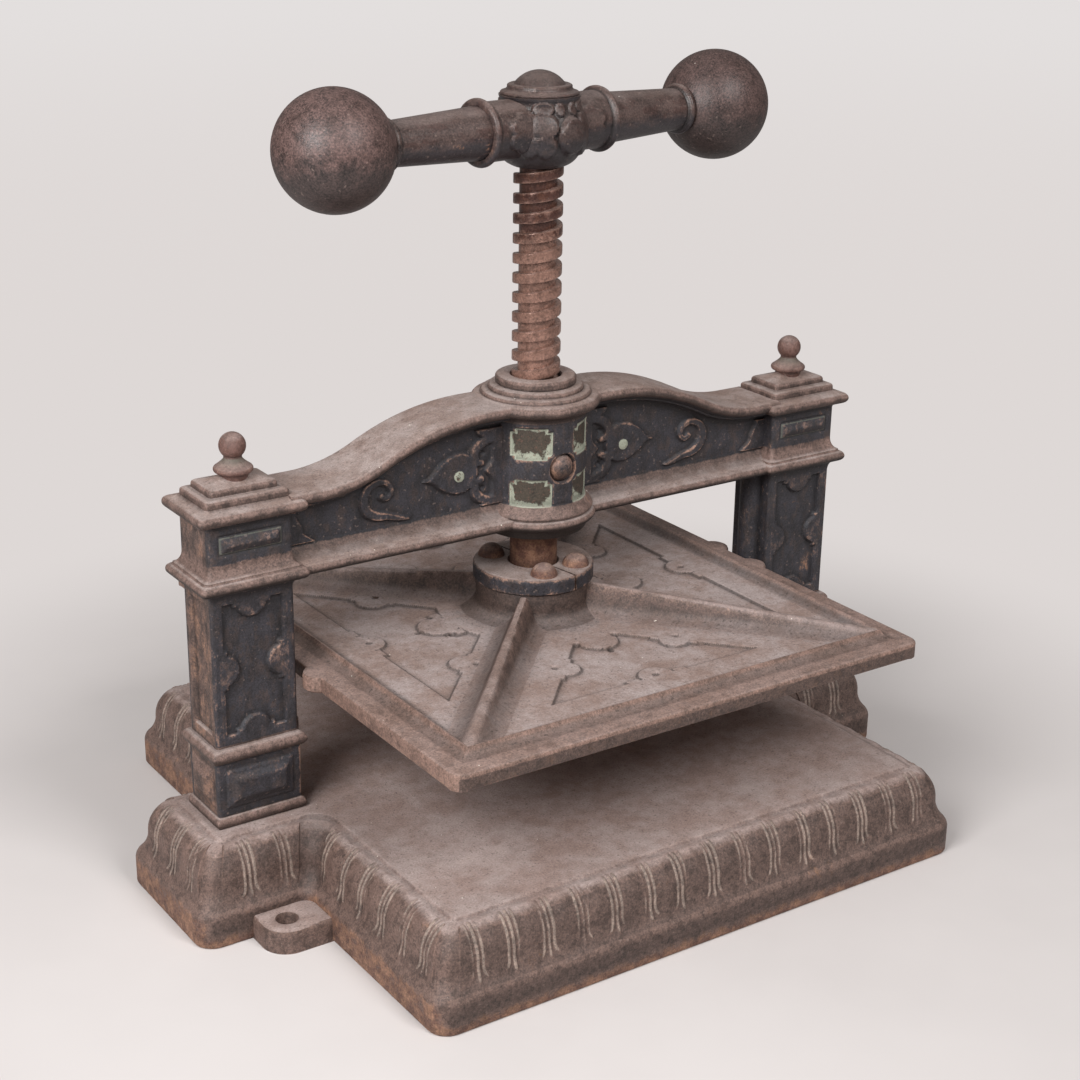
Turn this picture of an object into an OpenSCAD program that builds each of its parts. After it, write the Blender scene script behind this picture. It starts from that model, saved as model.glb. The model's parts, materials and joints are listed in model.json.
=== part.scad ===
// Iron screw copying press, standing on its base.
// +X runs along the crosshead, -Y is the front, +Z is up, and the origin is the base's centre on the floor.

/* [Base] */
// Width of the bed at the floor
bed_w = 407; // [390:1:420]
// Depth of the bed at the floor, front to back
bed_d = 422; // [400:1:460]
// Width over the two wings that carry the columns
wing_w = 554; // [545:1:600]
// Depth of each wing at the floor
wing_d = 111; // [106:1:130]
// Height of the bed above the floor
base_h = 60.4; // [56:0.2:72]
// Height of the plain foot below the moulded skirt
foot_h = 18; // [16:0.5:22]
// Rounding of the shoulder on top of the foot
shoulder_r = 9; // [5:0.5:14]
// How far the skirt's waist lies inside the floor edge
waist_in = 7.5; // [6:0.5:9]
// Height of the skirt's waist
waist_h = 38; // [34:0.5:42]
// Rounding of the skirt's upper edge
bulge_r = 10; // [7:0.5:11]
// Horizontal run of the skirt, from the floor edge to the bed's edge
skirt_run = 21.5; // [19:0.5:25]
// Height of the bed plate's edge above the skirt
bed_edge = 1.8; // [1:0.2:3]
// Thickness of the bed plate
bed_t = 16; // [10:1:22]
// Rounding of the upright corners of the base
base_corner = 13; // [6:1:18]
// Thickness of the hold-down lugs
lug_t = 16; // [12:1:18]
// Radius of the round end of a lug
lug_r = 17; // [14:0.5:20]
// Hole in each hold-down lug
lug_hole_d = 13; // [9:0.5:16]
// Distance of a lug's hole from the side of the bed
lug_from_bed = 22.5; // [20:0.5:30]
// Distance of a lug's hole from the side of the wing
lug_from_wing = 12.5; // [11:0.5:24]

/* [Columns] */
// Distance from the end of a wing to the middle of its column
col_from_end = 59.5; // [57:0.5:62]
// Width of a column, along the crosshead
col_w = 57; // [52:1:58]
// Depth of a column, front to back
col_d = 40; // [38:1:46]
// Height of a column
col_h = 157.1; // [150:0.5:175]
// Height of the column's plinth
plinth_h = 53.6; // [46:0.2:60]
// Height of the roll at the foot of the plinth
roll_h = 7.5; // [5:0.5:9]
// How far that roll stands proud of the column
roll_out = 2.5; // [1:0.25:4]
// Height of the cushion moulding on top of the plinth
cushion_h = 9; // [6:0.5:11]
// How far the cushion stands proud of the column
cushion_out = 4; // [2:0.25:5]
// Depth of the sunk panels
panel_sunk = 2.5; // [1:0.25:4]
// Plain border round a sunk panel
panel_border = 8; // [6:0.5:9]
// Radius of the half-round guide rib
rib_r = 9; // [7:0.5:9]
// How far the guide rib stands out from the column
rib_out = 8.4; // [6:0.2:8.6]

/* [Crosshead] */
// Height of the beam's crest above its underside
crest_h = 83.5; // [80:0.5:90]
// Height of the beam beside the capitals
shoulder_h = 53; // [50:0.5:56]
// Radius of the hollow part of the beam's top
cove_radius = 103.6; // [80:0.2:130]
// Thickness of the beam's web
web_t = 16; // [12:1:24]
// Depth of the beam's top and bottom nosings
nosing_d = 48.6; // [44:0.2:52]
// Thickness of the nosings
nosing_t = 6.5; // [5:0.5:8]
// How far the cornices of the capitals stand out
cornice_out = 8; // [6:0.5:10]
// Height of the capital's dado above the crosshead's underside
dado_low = 17.5; // [15:0.5:20]
// Height of the top of the dado above the crosshead's underside
dado_high = 40.5; // [38:0.5:44]
// Height of the capital
cap_h = 62.5; // [60:0.5:68]
// Radius of the boss
boss_r = 34; // [32:0.5:37]
// Radius of the boss's top flange
boss_flange_r = 42.5; // [40:0.5:46]
// How far the boss hangs below the beam
boss_drop = 7.5; // [5:0.5:10]
// Height of the boss above the beam's crest
boss_rise = 8; // [6:0.5:12]
// Height of the set screws above the crosshead's underside
set_screw_h = 40; // [36:0.5:44]
// Radius of the set screws' dome heads
set_head_r = 8.4; // [6:0.2:10]

/* [Tie rods] */
// Diameter of the tie rods
rod_d = 12; // [8:0.5:14]
// Diameter of the finial balls
finial_ball_d = 16.5; // [14:0.5:20]
// Diameter of the finial collars
finial_collar_d = 24; // [22:0.5:30]
// Height of a finial
finial_h = 29.2; // [27:0.2:34]

/* [Screw] */
// Outside diameter of the screw
screw_d = 31.75; // [28:0.25:33]
// Diameter at the bottom of the thread
root_d = 24; // [20:0.5:25]
// Lead of the single-start thread
pitch = 12.7; // [11:0.1:16]
// Width of the thread's ridge
ridge_w = 6.7; // [5:0.1:7]
// Clearance between screw and nut on every face
thread_gap = 0.45; // [0.4:0.05:0.6]
// Height of the threaded bush
nut_h = 73; // [60:1:76]
// Outside radius of the threaded bush
nut_r = 20; // [18.5:0.5:22]
// Length of the plain shank above the collar
shank_h = 35; // [30:0.5:35.5]
// Length of the screw from the collar to the hub
screw_rise = 262; // [240:1:290]

/* [Handle] */
// Turn of the handle at rest
handle_turn = 7.6; // [0:0.1:20]
// Diameter of the balls
ball_d = 72.4; // [60:0.2:80]
// Distance of a ball's centre from the screw's axis
ball_reach = 157.3; // [140:0.1:190]
// Diameter of an arm at the hub
arm_root_d = 33; // [28:0.5:36]
// Diameter of an arm at the ball
arm_tip_d = 27; // [24:0.5:28]
// Diameter of the hub's end rings
ring_d = 42; // [39:0.5:46]
// Distance of the outer face of a ring from the screw's axis
ring_reach = 52; // [48:0.5:58]
// Radius of the hub's bulb
hub_r = 30; // [27:0.5:34]
// Height of the arms' axis above the underside of the hub
arm_axis_h = 26.6; // [24:0.2:30]
// Diameter of the dome nut
cap_d = 32; // [26:0.5:38]
// Diameter of the washer below the dome nut
cap_washer_d = 46; // [40:0.5:50]

/* [Platen] */
// Gap between the side of the platen and a column
platen_gap = 10.5; // [10:0.5:18]
// Depth of the platen, front to back
platen_d = 378; // [350:1:400]
// Height of the open space between bed and platen
daylight = 80.6; // [75:0.2:82]
// Thickness of the platen's lip
lip_t = 11.2; // [9:0.2:14]
// Width of the flat band along the lip
lip_band = 12; // [10:0.5:18]
// Height of the rim round the platen's field
rim_h = 5.2; // [4:0.2:6.5]
// Width of a diagonal rib at its foot
rib_base_w = 30; // [24:1:34]
// Width of a diagonal rib's flat crest
rib_top_w = 5; // [3:0.5:10]
// Height of the platen's boss above its underside
platen_boss_h = 32; // [30:0.5:36]
// Radius of the platen's boss
platen_boss_r = 38.5; // [37:0.5:42]
// Radius of the fork knuckles
knuckle_r = 11; // [8:0.5:12]
// Radius of the split collar
collar_r = 40.6; // [39:0.2:44]
// Thickness of the split collar
collar_t = 11; // [8:0.5:13]
// Bolt circle radius of the collar's screws
collar_pcr = 29.5; // [29:0.5:31]
// Diameter of the collar's screws
collar_screw_d = 7; // [5:0.5:8]
// Diameter of their dome heads
collar_head_d = 18; // [14:0.5:19]
// Radius of the screw's foot
foot_r = 24; // [20:0.5:24.5]

/* [Hidden] */
$fn = 64;

// Colours
iron = "#4a433f";
rust = "#6b4a3a";
steel = "#8a7468";
bronze = "#8f7a4a";

// Fits: a locating fit within one body, a free fit, and a running gap between bodies
locating_fit = 0.05;
free_fit = 0.5;
running_gap = 0.3;

// Heights of the main joints above the floor
beam_z = base_h + col_h;
crest_z = beam_z + crest_h;
cap_z = beam_z + cap_h;
platen_z = base_h + daylight;
lip_z = platen_z + lip_t;
rim_z = lip_z + rim_h;
platen_boss_z = platen_z + platen_boss_h;
collar_z = platen_boss_z + collar_t;
thread_z = collar_z + shank_h;
hub_z = collar_z + screw_rise;
handle_z = hub_z + arm_axis_h;
boss_top_z = crest_z + boss_rise;

// Columns and the platen between them
col_x = wing_w / 2 - col_from_end;
col_face = col_x - col_w / 2;
platen_w = 2 * (col_face - platen_gap);

// Base
bed_top_w = bed_w - 2 * skirt_run;
bed_top_d = bed_d - 2 * skirt_run;
skirt_wall = 3;
wing_wall = 10;
lug_root = 4;
shoulder_turn = 2 * atan(waist_in / (waist_h - foot_h));
hollow_r = (waist_h - foot_h) / sin(shoulder_turn) - shoulder_r;
bulge_run = skirt_run - waist_in;
bulge_rise = base_h - bed_edge - waist_h - bulge_r;
flank_square = bulge_run * bulge_run + bulge_rise * bulge_rise - bulge_r * bulge_r;
flank_r = flank_square / (2 * (bulge_run - bulge_r));
flank_turn = atan2(bulge_rise, flank_r - bulge_run);
lug_x = bed_w / 2 + lug_from_bed;
lug_y = wing_d / 2 + lug_from_wing;
rod_boss_r = 1.7 * rod_d;
rod_seat_z = foot_h;

// Tie rods
rod_head_t = 0.75 * rod_d;
rod_head_w = 1.7 * rod_d;
washer_r = 1.25 * rod_d;
washer_t = 2.5;
rod_grip = 8.5;

// Column details
shaft_low = base_h + plinth_h;
neck_h = 9;
bite_r = 10;
panel_raise = 3;
panel_margin = 8;
panel_gap = 6;

// Crosshead
crest_x = boss_flange_r + 2.5;
shoulder_x = col_face - cornice_out - 9;
s_angle = 2 * atan((crest_h - shoulder_h) / (shoulder_x - crest_x));
crest_radius = (shoulder_x - crest_x) / sin(s_angle) - cove_radius;
inflection_x = crest_x + crest_radius * sin(s_angle);
label_h = 9.5;
label_raise = 2.2;
moulding_h = 2.2 * nosing_t;
under_band_h = 1.7 * nosing_t;
patch_sunk = 1.5;
patch_span = 48;
patch_turn = 38;
set_shank_r = 0.48 * set_head_r;
set_bite = 1.6;
set_sunk = 5.5;
set_seat = boss_r - set_sunk;

// Hub
barrel_r = ring_d / 2 - 2.3;
hub_h = arm_axis_h + barrel_r + 1.2;

// Screw
screw_r = screw_d / 2;
root_r = root_d / 2;
thread_sides = 20;
foot_t = 7.4;
pad_t = 4;
pad_r = foot_r - 4;
foot_z = platen_boss_z - running_gap - foot_t;
pad_z = foot_z - running_gap - pad_t;
nut_top_t = 5;
nut_z = boss_top_z - nut_h;
nut_flange_r = nut_r + 3;
journal_r = root_r - 1;
stud_r = 0.62 * journal_r;
key_w = 6;
key_h = 0.8 * hub_h;

// Handle
ball_r = ball_d / 2;
ball_flat = 2.9;
ball_seat = ball_reach - ball_r + ball_flat;
arm_tenon_r = 0.36 * arm_root_d;
arm_tip_tenon_r = 0.33 * arm_tip_d;
arm_tenon_start = journal_r + key_w + 6;
ball_tenon_l = 22;
ring_t = 6;
cap_washer_t = 4;
hub_top_z = hub_z + hub_h;
cap_nut_z = hub_top_z + cap_washer_t;
cap_nut_h = 10.5;
stud_l = cap_washer_t + 6.5;

// Platen
rim_foot = 0.5;
rim_cove = 7;
rim_crest = 1.6;
rim_slope = 5.5;
crest_inset = lip_band + rim_cove;
crest_mid_w = platen_w - 2 * crest_inset - rim_crest;
crest_mid_d = platen_d - 2 * crest_inset - rim_crest;
boss_flare = 8;
collar_split = 100;
collar_kerf = 1.2;
collar_screw_turns = [-110, -50, 70, 130];
collar_screw_l = 14;
collar_head_h = 8;
knuckle_x = platen_w / 2 - 4.3;
knuckle_y = rib_r + 1 + knuckle_r;

// Points along an arc of n steps, from angle a0 to a1
function arc(centre, r, a0, a1, n = 8) =
    [for (i = [0 : n]) let (a = a0 + (a1 - a0) * i / n) centre + r * [cos(a), sin(a)]];

// A roll moulding's half-round of height h from height z, standing proud of the line at start by out
function roll(z, h, out, start = 0) =
    [for (p = arc([0, 0], 1, -90, 90)) [start + p[0] * out, z + h / 2 + p[1] * h / 2]];

// The skirt from the floor up: plain foot, rounded shoulder, hollow up to the upright waist,
// and a bulge of two arcs that ends flat under the bed plate's edge
function skirt_profile() = concat(
    [[0, 0]],
    arc([-shoulder_r, foot_h], shoulder_r, 0, shoulder_turn, 5),
    arc([hollow_r - waist_in, waist_h], hollow_r, 180 + shoulder_turn, 180, 5),
    arc([-waist_in - flank_r, waist_h], flank_r, 0, flank_turn, 5),
    arc([-skirt_run, base_h - bed_edge - bulge_r], bulge_r, flank_turn, 90, 5),
    [[-skirt_run, base_h]]);

// Outline of a body whose two sides follow the profile: pairs of (distance outside w / 2, height)
module section(w, profile) {
    right = [for (p = profile) [w / 2 + p[0], p[1]]];
    left = [for (i = [len(profile) - 1 : -1 : 0]) [-w / 2 - profile[i][0], profile[i][1]]];
    polygon(concat(right, left));
}

// A rectangular body of w by d with the same moulded profile mitred round its four sides
module moulded_body(w, d, profile) {
    reach = max(w, d) + 2 * max([for (p = profile) abs(p[0])]) + 1;
    intersection() {
        rotate([90, 0, 0]) linear_extrude(reach, center = true) section(w, profile);
        rotate([90, 0, 90]) linear_extrude(reach, center = true) section(d, profile);
    }
}

// A raised rectangle with bevelled edges, lying on the XY plane
module bevelled_panel(w, h, raise) {
    bevel = [[0, -raise], [0, 0], [-raise, raise]];
    moulded_body(w, h, bevel);
}

// A square prism with rounded upright corners
module rounded_prism(w, d, r, h) {
    linear_extrude(h) {
        square([w - 2 * r, d], center = true);
        square([w, d - 2 * r], center = true);
        for (x = [-1, 1], y = [-1, 1])
            translate([x * (w / 2 - r), y * (d / 2 - r)]) circle(r);
    }
}

// Puts its children on the right-hand column's centre line
module at_right() {
    translate([col_x, 0, 0]) children();
}

// Puts its children on the left, mirrored
module at_left() {
    mirror([1, 0, 0]) at_right() children();
}

// A square thread with its core, from z0 to z1, on one helix that all threads of the press share.
// Each step of the helix has four points: the ridge's foot and crest below, then its crest and foot above.
module thread_rod(core_r, crest_r, ridge, z0, z1) {
    n = thread_sides;
    rise = pitch / n;
    first = ceil((z0 - thread_z + ridge / 2) / rise + 0.5);
    last = floor((z1 - thread_z - ridge / 2) / rise - 0.5);
    span = last - first;
    corners = [[core_r, -0.5], [crest_r, -0.5], [crest_r, 0.5], [core_r, 0.5]];
    helix = [for (i = [first : last], p = corners)
        [p[0] * cos(360 * i / n), p[0] * sin(360 * i / n), thread_z + rise * i + p[1] * ridge]];
    low_ring = [for (i = [first : first + n - 1])
        [core_r * cos(360 * i / n), core_r * sin(360 * i / n), z0]];
    top_ring = [for (i = [last : last + n - 1])
        [core_r * cos(360 * i / n), core_r * sin(360 * i / n), z1]];
    low = 4 * (span + 1);
    top = low + n;
    end = 4 * span;
    top_foot = 4 * (span - n) + 3;
    ridges = [for (i = [0 : span - 1]) let (p = 4 * i, q = p + 4) each [
        [p, p + 1, q + 1], [p, q + 1, q],
        [p + 1, p + 2, q + 2, q + 1],
        [p + 3, q + 3, q + 2], [p + 3, q + 2, p + 2]]];
    roots = [for (i = [0 : span - n - 1]) let (p = 4 * i + 3, q = 4 * (i + n)) [p, q, q + 4, p + 4]];
    ends = [[0, 3, 2, 1], [end, end + 1, end + 2, end + 3]];
    low_wall = [for (i = [0 : n - 2]) [low + i, 4 * i, 4 * i + 4, low + i + 1]];
    low_seam = [for (edge = [[4 * n, 3], [3, 0], [0, low], [low, low + n - 1]])
        [4 * n - 4, edge[0], edge[1]]];
    top_wall = [for (i = [1 : n - 1]) [top_foot + 4 * i, top + i, top + (i + 1) % n, top_foot + 4 * i + 4]];
    top_seam = [for (edge = [[top_foot + 4, top_foot], [top_foot, end], [end, end + 3], [end + 3, top]])
        [top + 1, edge[0], edge[1]]];
    caps = [[for (i = [0 : n - 1]) low + i], [for (i = [n - 1 : -1 : 0]) top + i]];
    polyhedron(concat(helix, low_ring, top_ring),
        concat(ridges, roots, ends, low_wall, low_seam, top_wall, top_seam, caps), convexity = 10);
}

// Base

module skirt_block(w, d) {
    intersection() {
        moulded_body(w, d, skirt_profile());
        rounded_prism(w, d, base_corner, base_h + 1);
    }
}

module lug() {
    linear_extrude(lug_t) {
        circle(lug_r);
        translate([-lug_r, -lug_from_wing - lug_root]) square([2 * lug_r, lug_from_wing + lug_root]);
        translate([-lug_from_bed - lug_root, -lug_from_wing - lug_root])
            square([lug_from_bed + lug_root, lug_from_wing + lug_root + lug_r]);
    }
}

module at_lugs() {
    for (x = [0, 1], y = [0, 1])
        mirror([x, 0, 0]) mirror([0, y, 0]) translate([lug_x, lug_y, 0]) children();
}

module wing_pocket() {
    pocket_x = col_face + skirt_wall;
    pocket_l = wing_w / 2 - skirt_run - wing_wall - pocket_x;
    pocket_d = wing_d - 2 * skirt_run - 2 * wing_wall;
    translate([pocket_x, -pocket_d / 2, -1]) cube([pocket_l, pocket_d, base_h - bed_t + 1]);
}

module base() {
    cavity_w = bed_top_w - 2 * skirt_wall;
    cavity_d = bed_top_d - 2 * skirt_wall;
    color(iron) difference() {
        union() {
            difference() {
                union() {
                    skirt_block(bed_w, bed_d);
                    skirt_block(wing_w, wing_d);
                    at_lugs() lug();
                }
                translate([-cavity_w / 2, -cavity_d / 2, -1]) cube([cavity_w, cavity_d, base_h - bed_t + 1]);
                for (side = [0, 1]) mirror([side, 0, 0]) wing_pocket();
            }
            for (side = [-1, 1]) translate([side * col_x, 0, rod_seat_z])
                cylinder(base_h - bed_t / 2 - rod_seat_z, rod_boss_r, rod_boss_r);
        }
        for (side = [-1, 1]) translate([side * col_x, 0, 0])
            cylinder(base_h + 1, rod_d / 2 + free_fit, rod_d / 2 + free_fit);
        at_lugs() translate([0, 0, -1]) cylinder(lug_t + 2, lug_hole_d / 2, lug_hole_d / 2);
    }
}

// Columns, drawn on their own centre line with the inner face towards -X

module shaft_field(w, h) {
    difference() {
        square([w, h], center = true);
        for (side = [-1, 1]) {
            translate([side * w / 2, 0]) circle(bite_r);
            translate([0, side * h / 2]) circle(bite_r);
        }
    }
}

module column_faces() {
    for (turn = [0, 180]) rotate([0, 0, turn]) translate([0, -col_d / 2, 0]) rotate([90, 0, 0]) children();
}

module column() {
    shaft_h = col_h - plinth_h;
    field_mid = shaft_low + shaft_h / 2;
    field_l = shaft_h - 2 * panel_border - neck_h / 2;
    plinth_mid = base_h + (plinth_h + roll_h - cushion_h) / 2;
    plinth_panel = plinth_h - roll_h - cushion_h - 2 * panel_gap;
    profile = concat(
        roll(base_h, roll_h, roll_out),
        [[0, base_h + roll_h + 1], [0, shaft_low - cushion_h - 1]],
        roll(shaft_low - cushion_h, cushion_h, cushion_out),
        [[-1, shaft_low], [-1, beam_z - neck_h]],
        arc([roll_out, beam_z - neck_h], roll_out + 1, 180, 90),
        [[roll_out, beam_z]]);
    color(iron) difference() {
        union() {
            difference() {
                moulded_body(col_w, col_d, profile);
                translate([-1.5 * col_w, -col_d, base_h - 1]) cube([col_w, 2 * col_d, col_h + 2]);
            }
            column_faces() translate([0, plinth_mid, 0])
                bevelled_panel(col_w - 2 * panel_margin, plinth_panel, panel_raise);
            rotate([90, 0, 90]) translate([0, plinth_mid, col_w / 2])
                bevelled_panel(col_d - 2 * panel_margin, plinth_panel, panel_raise);
            translate([-col_w / 2 + rib_r - rib_out, 0, base_h]) cylinder(col_h, rib_r, rib_r);
        }
        column_faces() translate([0, field_mid, -panel_sunk - 1])
            linear_extrude(panel_sunk + 2) shaft_field(col_w - 2 * panel_border, field_l);
        rotate([90, 0, 90]) translate([0, field_mid, col_w / 2 - panel_sunk - 1])
            linear_extrude(panel_sunk + 2) square([col_d - 2 * panel_border, field_l], center = true);
        translate([0, 0, base_h - 1]) cylinder(col_h + 2, rod_d / 2 + free_fit, rod_d / 2 + free_fit);
    }
}

module left_column() {
    at_left() column();
}

module right_column() {
    at_right() column();
}

// Crosshead

module half_outline() {
    difference() {
        union() {
            square([crest_x, crest_h]);
            intersection() {
                translate([crest_x, 0]) square([inflection_x - crest_x, crest_h]);
                translate([crest_x, crest_h - crest_radius]) circle(crest_radius, $fn = 180);
            }
            translate([inflection_x, 0]) square([col_face - inflection_x, crest_h]);
        }
        translate([shoulder_x, shoulder_h + cove_radius]) circle(cove_radius, $fn = 180);
        translate([shoulder_x, shoulder_h]) square([col_face - shoulder_x + 1, crest_h]);
    }
}

module beam_outline() {
    half_outline();
    mirror([1, 0]) half_outline();
}

// A band along the beam's top
module top_band(depth, height) {
    rotate([90, 0, 0]) linear_extrude(depth, center = true) difference() {
        beam_outline();
        translate([0, -height]) beam_outline();
    }
}

module beam() {
    bottom = [[0, 0], [0, nosing_t], [(web_t - nosing_d) / 2, moulding_h]];
    translate([0, 0, beam_z]) {
        rotate([90, 0, 0]) linear_extrude(web_t, center = true) beam_outline();
        top_band(nosing_d, nosing_t);
        top_band((nosing_d + web_t) / 2, under_band_h);
        rotate([90, 0, 90]) linear_extrude(2 * col_face, center = true) section(nosing_d, bottom);
    }
}

module capital() {
    roll_t = 4.5;
    roll_bulge = 2;
    step_h = 5;
    step_in = 5.5;
    dado_w = col_w - 1;
    label_margin = 7;
    high = cap_h - 2 * step_h;
    cornice_in = cornice_out - roll_bulge;
    profile = concat(
        roll(0, roll_t, roll_bulge, cornice_in),
        arc([cornice_in, dado_low], cornice_in, 220, 180),
        arc([cornice_in, dado_high], cornice_in, 180, 130),
        roll(high - roll_t - 1, roll_t, roll_bulge, cornice_in),
        [[-0.5, high + 1], [-0.5, cap_h - step_h], [-step_in, cap_h - step_h], [-step_in, cap_h]]);
    translate([0, 0, beam_z]) {
        moulded_body(dado_w, col_d, profile);
        for (turn = [0, 180]) rotate([0, 0, turn])
            translate([0, -col_d / 2, (dado_low + dado_high) / 2]) rotate([90, 0, 0])
                bevelled_panel(dado_w - 2 * label_margin, label_h, label_raise);
    }
}

module boss_body() {
    nose = nosing_t / 2;
    low_r = boss_r + 7 - nose;
    high_r = boss_flange_r - nose;
    step_r = boss_r + 2;
    translate([0, 0, beam_z]) rotate_extrude($fn = 96) {
        polygon([[0, -boss_drop], [boss_r + 0.5, -boss_drop], [low_r, -0.5], [low_r, nosing_t - 0.5],
            [boss_r, moulding_h], [boss_r, crest_h - moulding_h], [high_r, crest_h - nosing_t],
            [high_r, crest_h], [step_r, crest_h + 1], [step_r, crest_h + boss_rise / 2],
            [nut_flange_r + 5, crest_h + boss_rise], [0, crest_h + boss_rise]]);
        translate([high_r, crest_h - nose]) circle(nose, $fn = 24);
        translate([low_r, nose - 0.5]) circle(nose, $fn = 24);
    }
}

module boss_patches() {
    gap = 6.5;
    patch_h = 21.5;
    for (back = [0, 180], side = [-1, 1], level = [-1, 1])
        rotate([0, 0, back - 90 + side * patch_turn - patch_span / 2])
            translate([0, 0, beam_z + set_screw_h + level * (gap + patch_h / 2) - patch_h / 2])
                rotate_extrude(angle = patch_span, $fn = 96)
                    translate([boss_r - patch_sunk, 0]) square([patch_sunk + 1, patch_h]);
}

module set_screw_axis() {
    translate([0, 0, beam_z + set_screw_h]) rotate([90, 0, 0]) children();
}

module crosshead() {
    color(iron) difference() {
        union() {
            beam();
            at_right() capital();
            at_left() capital();
            boss_body();
        }
        boss_patches();
        translate([0, 0, nut_z - locating_fit])
            cylinder(nut_h + 1, nut_r + locating_fit, nut_r + locating_fit);
        translate([0, 0, beam_z - boss_drop - 1])
            cylinder(nut_z - beam_z + boss_drop + 2, screw_r + 2 * free_fit, screw_r + 2 * free_fit);
        for (side = [-1, 1]) {
            translate([side * col_x, 0, beam_z - 1])
                cylinder(cap_h + 2, rod_d / 2 + free_fit, rod_d / 2 + free_fit);
            set_screw_axis() translate([0, 0, side * boss_r]) {
                cylinder(2 * set_sunk, set_head_r + 1, set_head_r + 1, center = true);
                cylinder(2 * (boss_r - nut_r + 1), set_shank_r + locating_fit, set_shank_r + locating_fit,
                    center = true);
            }
        }
    }
}

// Tie rods, washers and finials

module tie_rod() {
    head_z = rod_seat_z - washer_t - rod_head_t;
    color(steel) {
        translate([-rod_head_w / 2, -rod_head_w / 2, head_z]) cube([rod_head_w, rod_head_w, rod_head_t]);
        translate([0, 0, head_z + rod_head_t / 2])
            cylinder(cap_z + rod_grip - head_z - rod_head_t / 2, rod_d / 2, rod_d / 2);
    }
}

module left_tie_rod() {
    at_left() tie_rod();
}

module right_tie_rod() {
    at_right() tie_rod();
}

module rod_washer() {
    hole_r = rod_d / 2 + free_fit;
    translate([0, 0, rod_seat_z - washer_t]) difference() {
        cylinder(washer_t, washer_r, washer_r);
        translate([0, 0, -1]) cylinder(washer_t + 2, hole_r, hole_r);
    }
}

module rod_washers() {
    color(steel) {
        at_left() rod_washer();
        at_right() rod_washer();
    }
}

module finial() {
    collar_rim = finial_collar_d / 2;
    neck = 0.5 * finial_ball_d / 2;
    ball_z = finial_h - finial_ball_d / 2;
    color(rust) translate([0, 0, cap_z]) difference() {
        rotate_extrude() {
            polygon([[0, 0], [collar_rim - 3, 0], [collar_rim - 2, 5], [collar_rim, 6], [collar_rim, 8],
                [neck + 2, rod_grip + 2.5], [neck, ball_z - 0.8 * finial_ball_d / 2], [0, ball_z]]);
            intersection() {
                translate([0, ball_z]) circle(finial_ball_d / 2);
                translate([0, ball_z - finial_ball_d]) square([finial_ball_d, 2 * finial_ball_d]);
            }
        }
        translate([0, 0, -1]) cylinder(rod_grip + 1.2, rod_d / 2 + locating_fit, rod_d / 2 + locating_fit);
    }
}

module left_finial() {
    at_left() finial();
}

module right_finial() {
    at_right() finial();
}

// Nut and its set screws

module screw_nut() {
    bite_hole_r = set_shank_r + locating_fit;
    color(bronze) difference() {
        union() {
            translate([0, 0, nut_z]) cylinder(nut_h + 0.5, nut_r, nut_r);
            translate([0, 0, boss_top_z]) cylinder(nut_top_t, nut_flange_r, nut_flange_r);
        }
        thread_rod(root_r + thread_gap, screw_r + thread_gap, ridge_w + 2 * thread_gap,
            nut_z - 1.6 * pitch, boss_top_z + nut_top_t + 1.6 * pitch);
        for (side = [-1, 1]) set_screw_axis()
            translate([0, 0, side * nut_r])
                cylinder(2 * set_bite, bite_hole_r, bite_hole_r, center = true);
    }
}

// A dome-headed screw along +Z with its seat at 0
module dome_screw(head_r, head_h, shank_r, shank_l) {
    dome = (head_r * head_r + head_h * head_h) / (2 * head_h);
    rotate_extrude() intersection() {
        translate([0, head_h - dome]) circle(dome, $fn = 96);
        square([head_r, head_h]);
    }
    translate([0, 0, -shank_l]) cylinder(shank_l + head_h / 2, shank_r, shank_r);
}

module front_nut_screw() {
    color(rust) set_screw_axis() translate([0, 0, set_seat])
        dome_screw(set_head_r, 0.95 * set_head_r, set_shank_r, set_seat - nut_r + set_bite - locating_fit);
}

module rear_nut_screw() {
    mirror([0, 1, 0]) front_nut_screw();
}

// Platen and collar

// The rim round the field: a hollow outer side up to a narrow crest, and a sloping inner side
module platen_rim() {
    rise = rim_h - rim_foot;
    cove = (rim_cove * rim_cove + rise * rise) / (2 * rise);
    outer = concat([[0, lip_z - 1]],
        arc([0, lip_z + rim_foot + cove], cove, 270, 180 + asin((cove - rise) / cove), 6));
    slope = rim_slope / rim_h;
    inner = [[-rim_slope - slope, lip_z - 1], [slope, rim_z + 1]];
    inner_inset = crest_inset + rim_crest;
    difference() {
        moulded_body(platen_w - 2 * lip_band, platen_d - 2 * lip_band, outer);
        moulded_body(platen_w - 2 * inner_inset, platen_d - 2 * inner_inset, inner);
    }
}

// One of the four diagonal ribs, from the boss out past the corner of the rim in the direction of sx, sy
module diagonal_rib(sx, sy) {
    reach = sqrt(crest_mid_w * crest_mid_w + crest_mid_d * crest_mid_d) / 2 + rib_base_w / 2;
    inner = platen_boss_r - boss_flare;
    low = lip_z - 1;
    ends = [[inner, platen_boss_z - 1], [reach, rim_z - 1.4]];
    points = [for (e = ends) each [[e[0], -rib_base_w / 2, low], [e[0], rib_base_w / 2, low],
        [e[0], rib_top_w / 2, e[1]], [e[0], -rib_top_w / 2, e[1]]]];
    faces = [[0, 1, 2, 3], [7, 6, 5, 4], [0, 4, 5, 1], [1, 5, 6, 2], [2, 6, 7, 3], [3, 7, 4, 0]];
    rotate([0, 0, atan2(sy * crest_mid_d, sx * crest_mid_w)]) polyhedron(points, faces);
}

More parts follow.
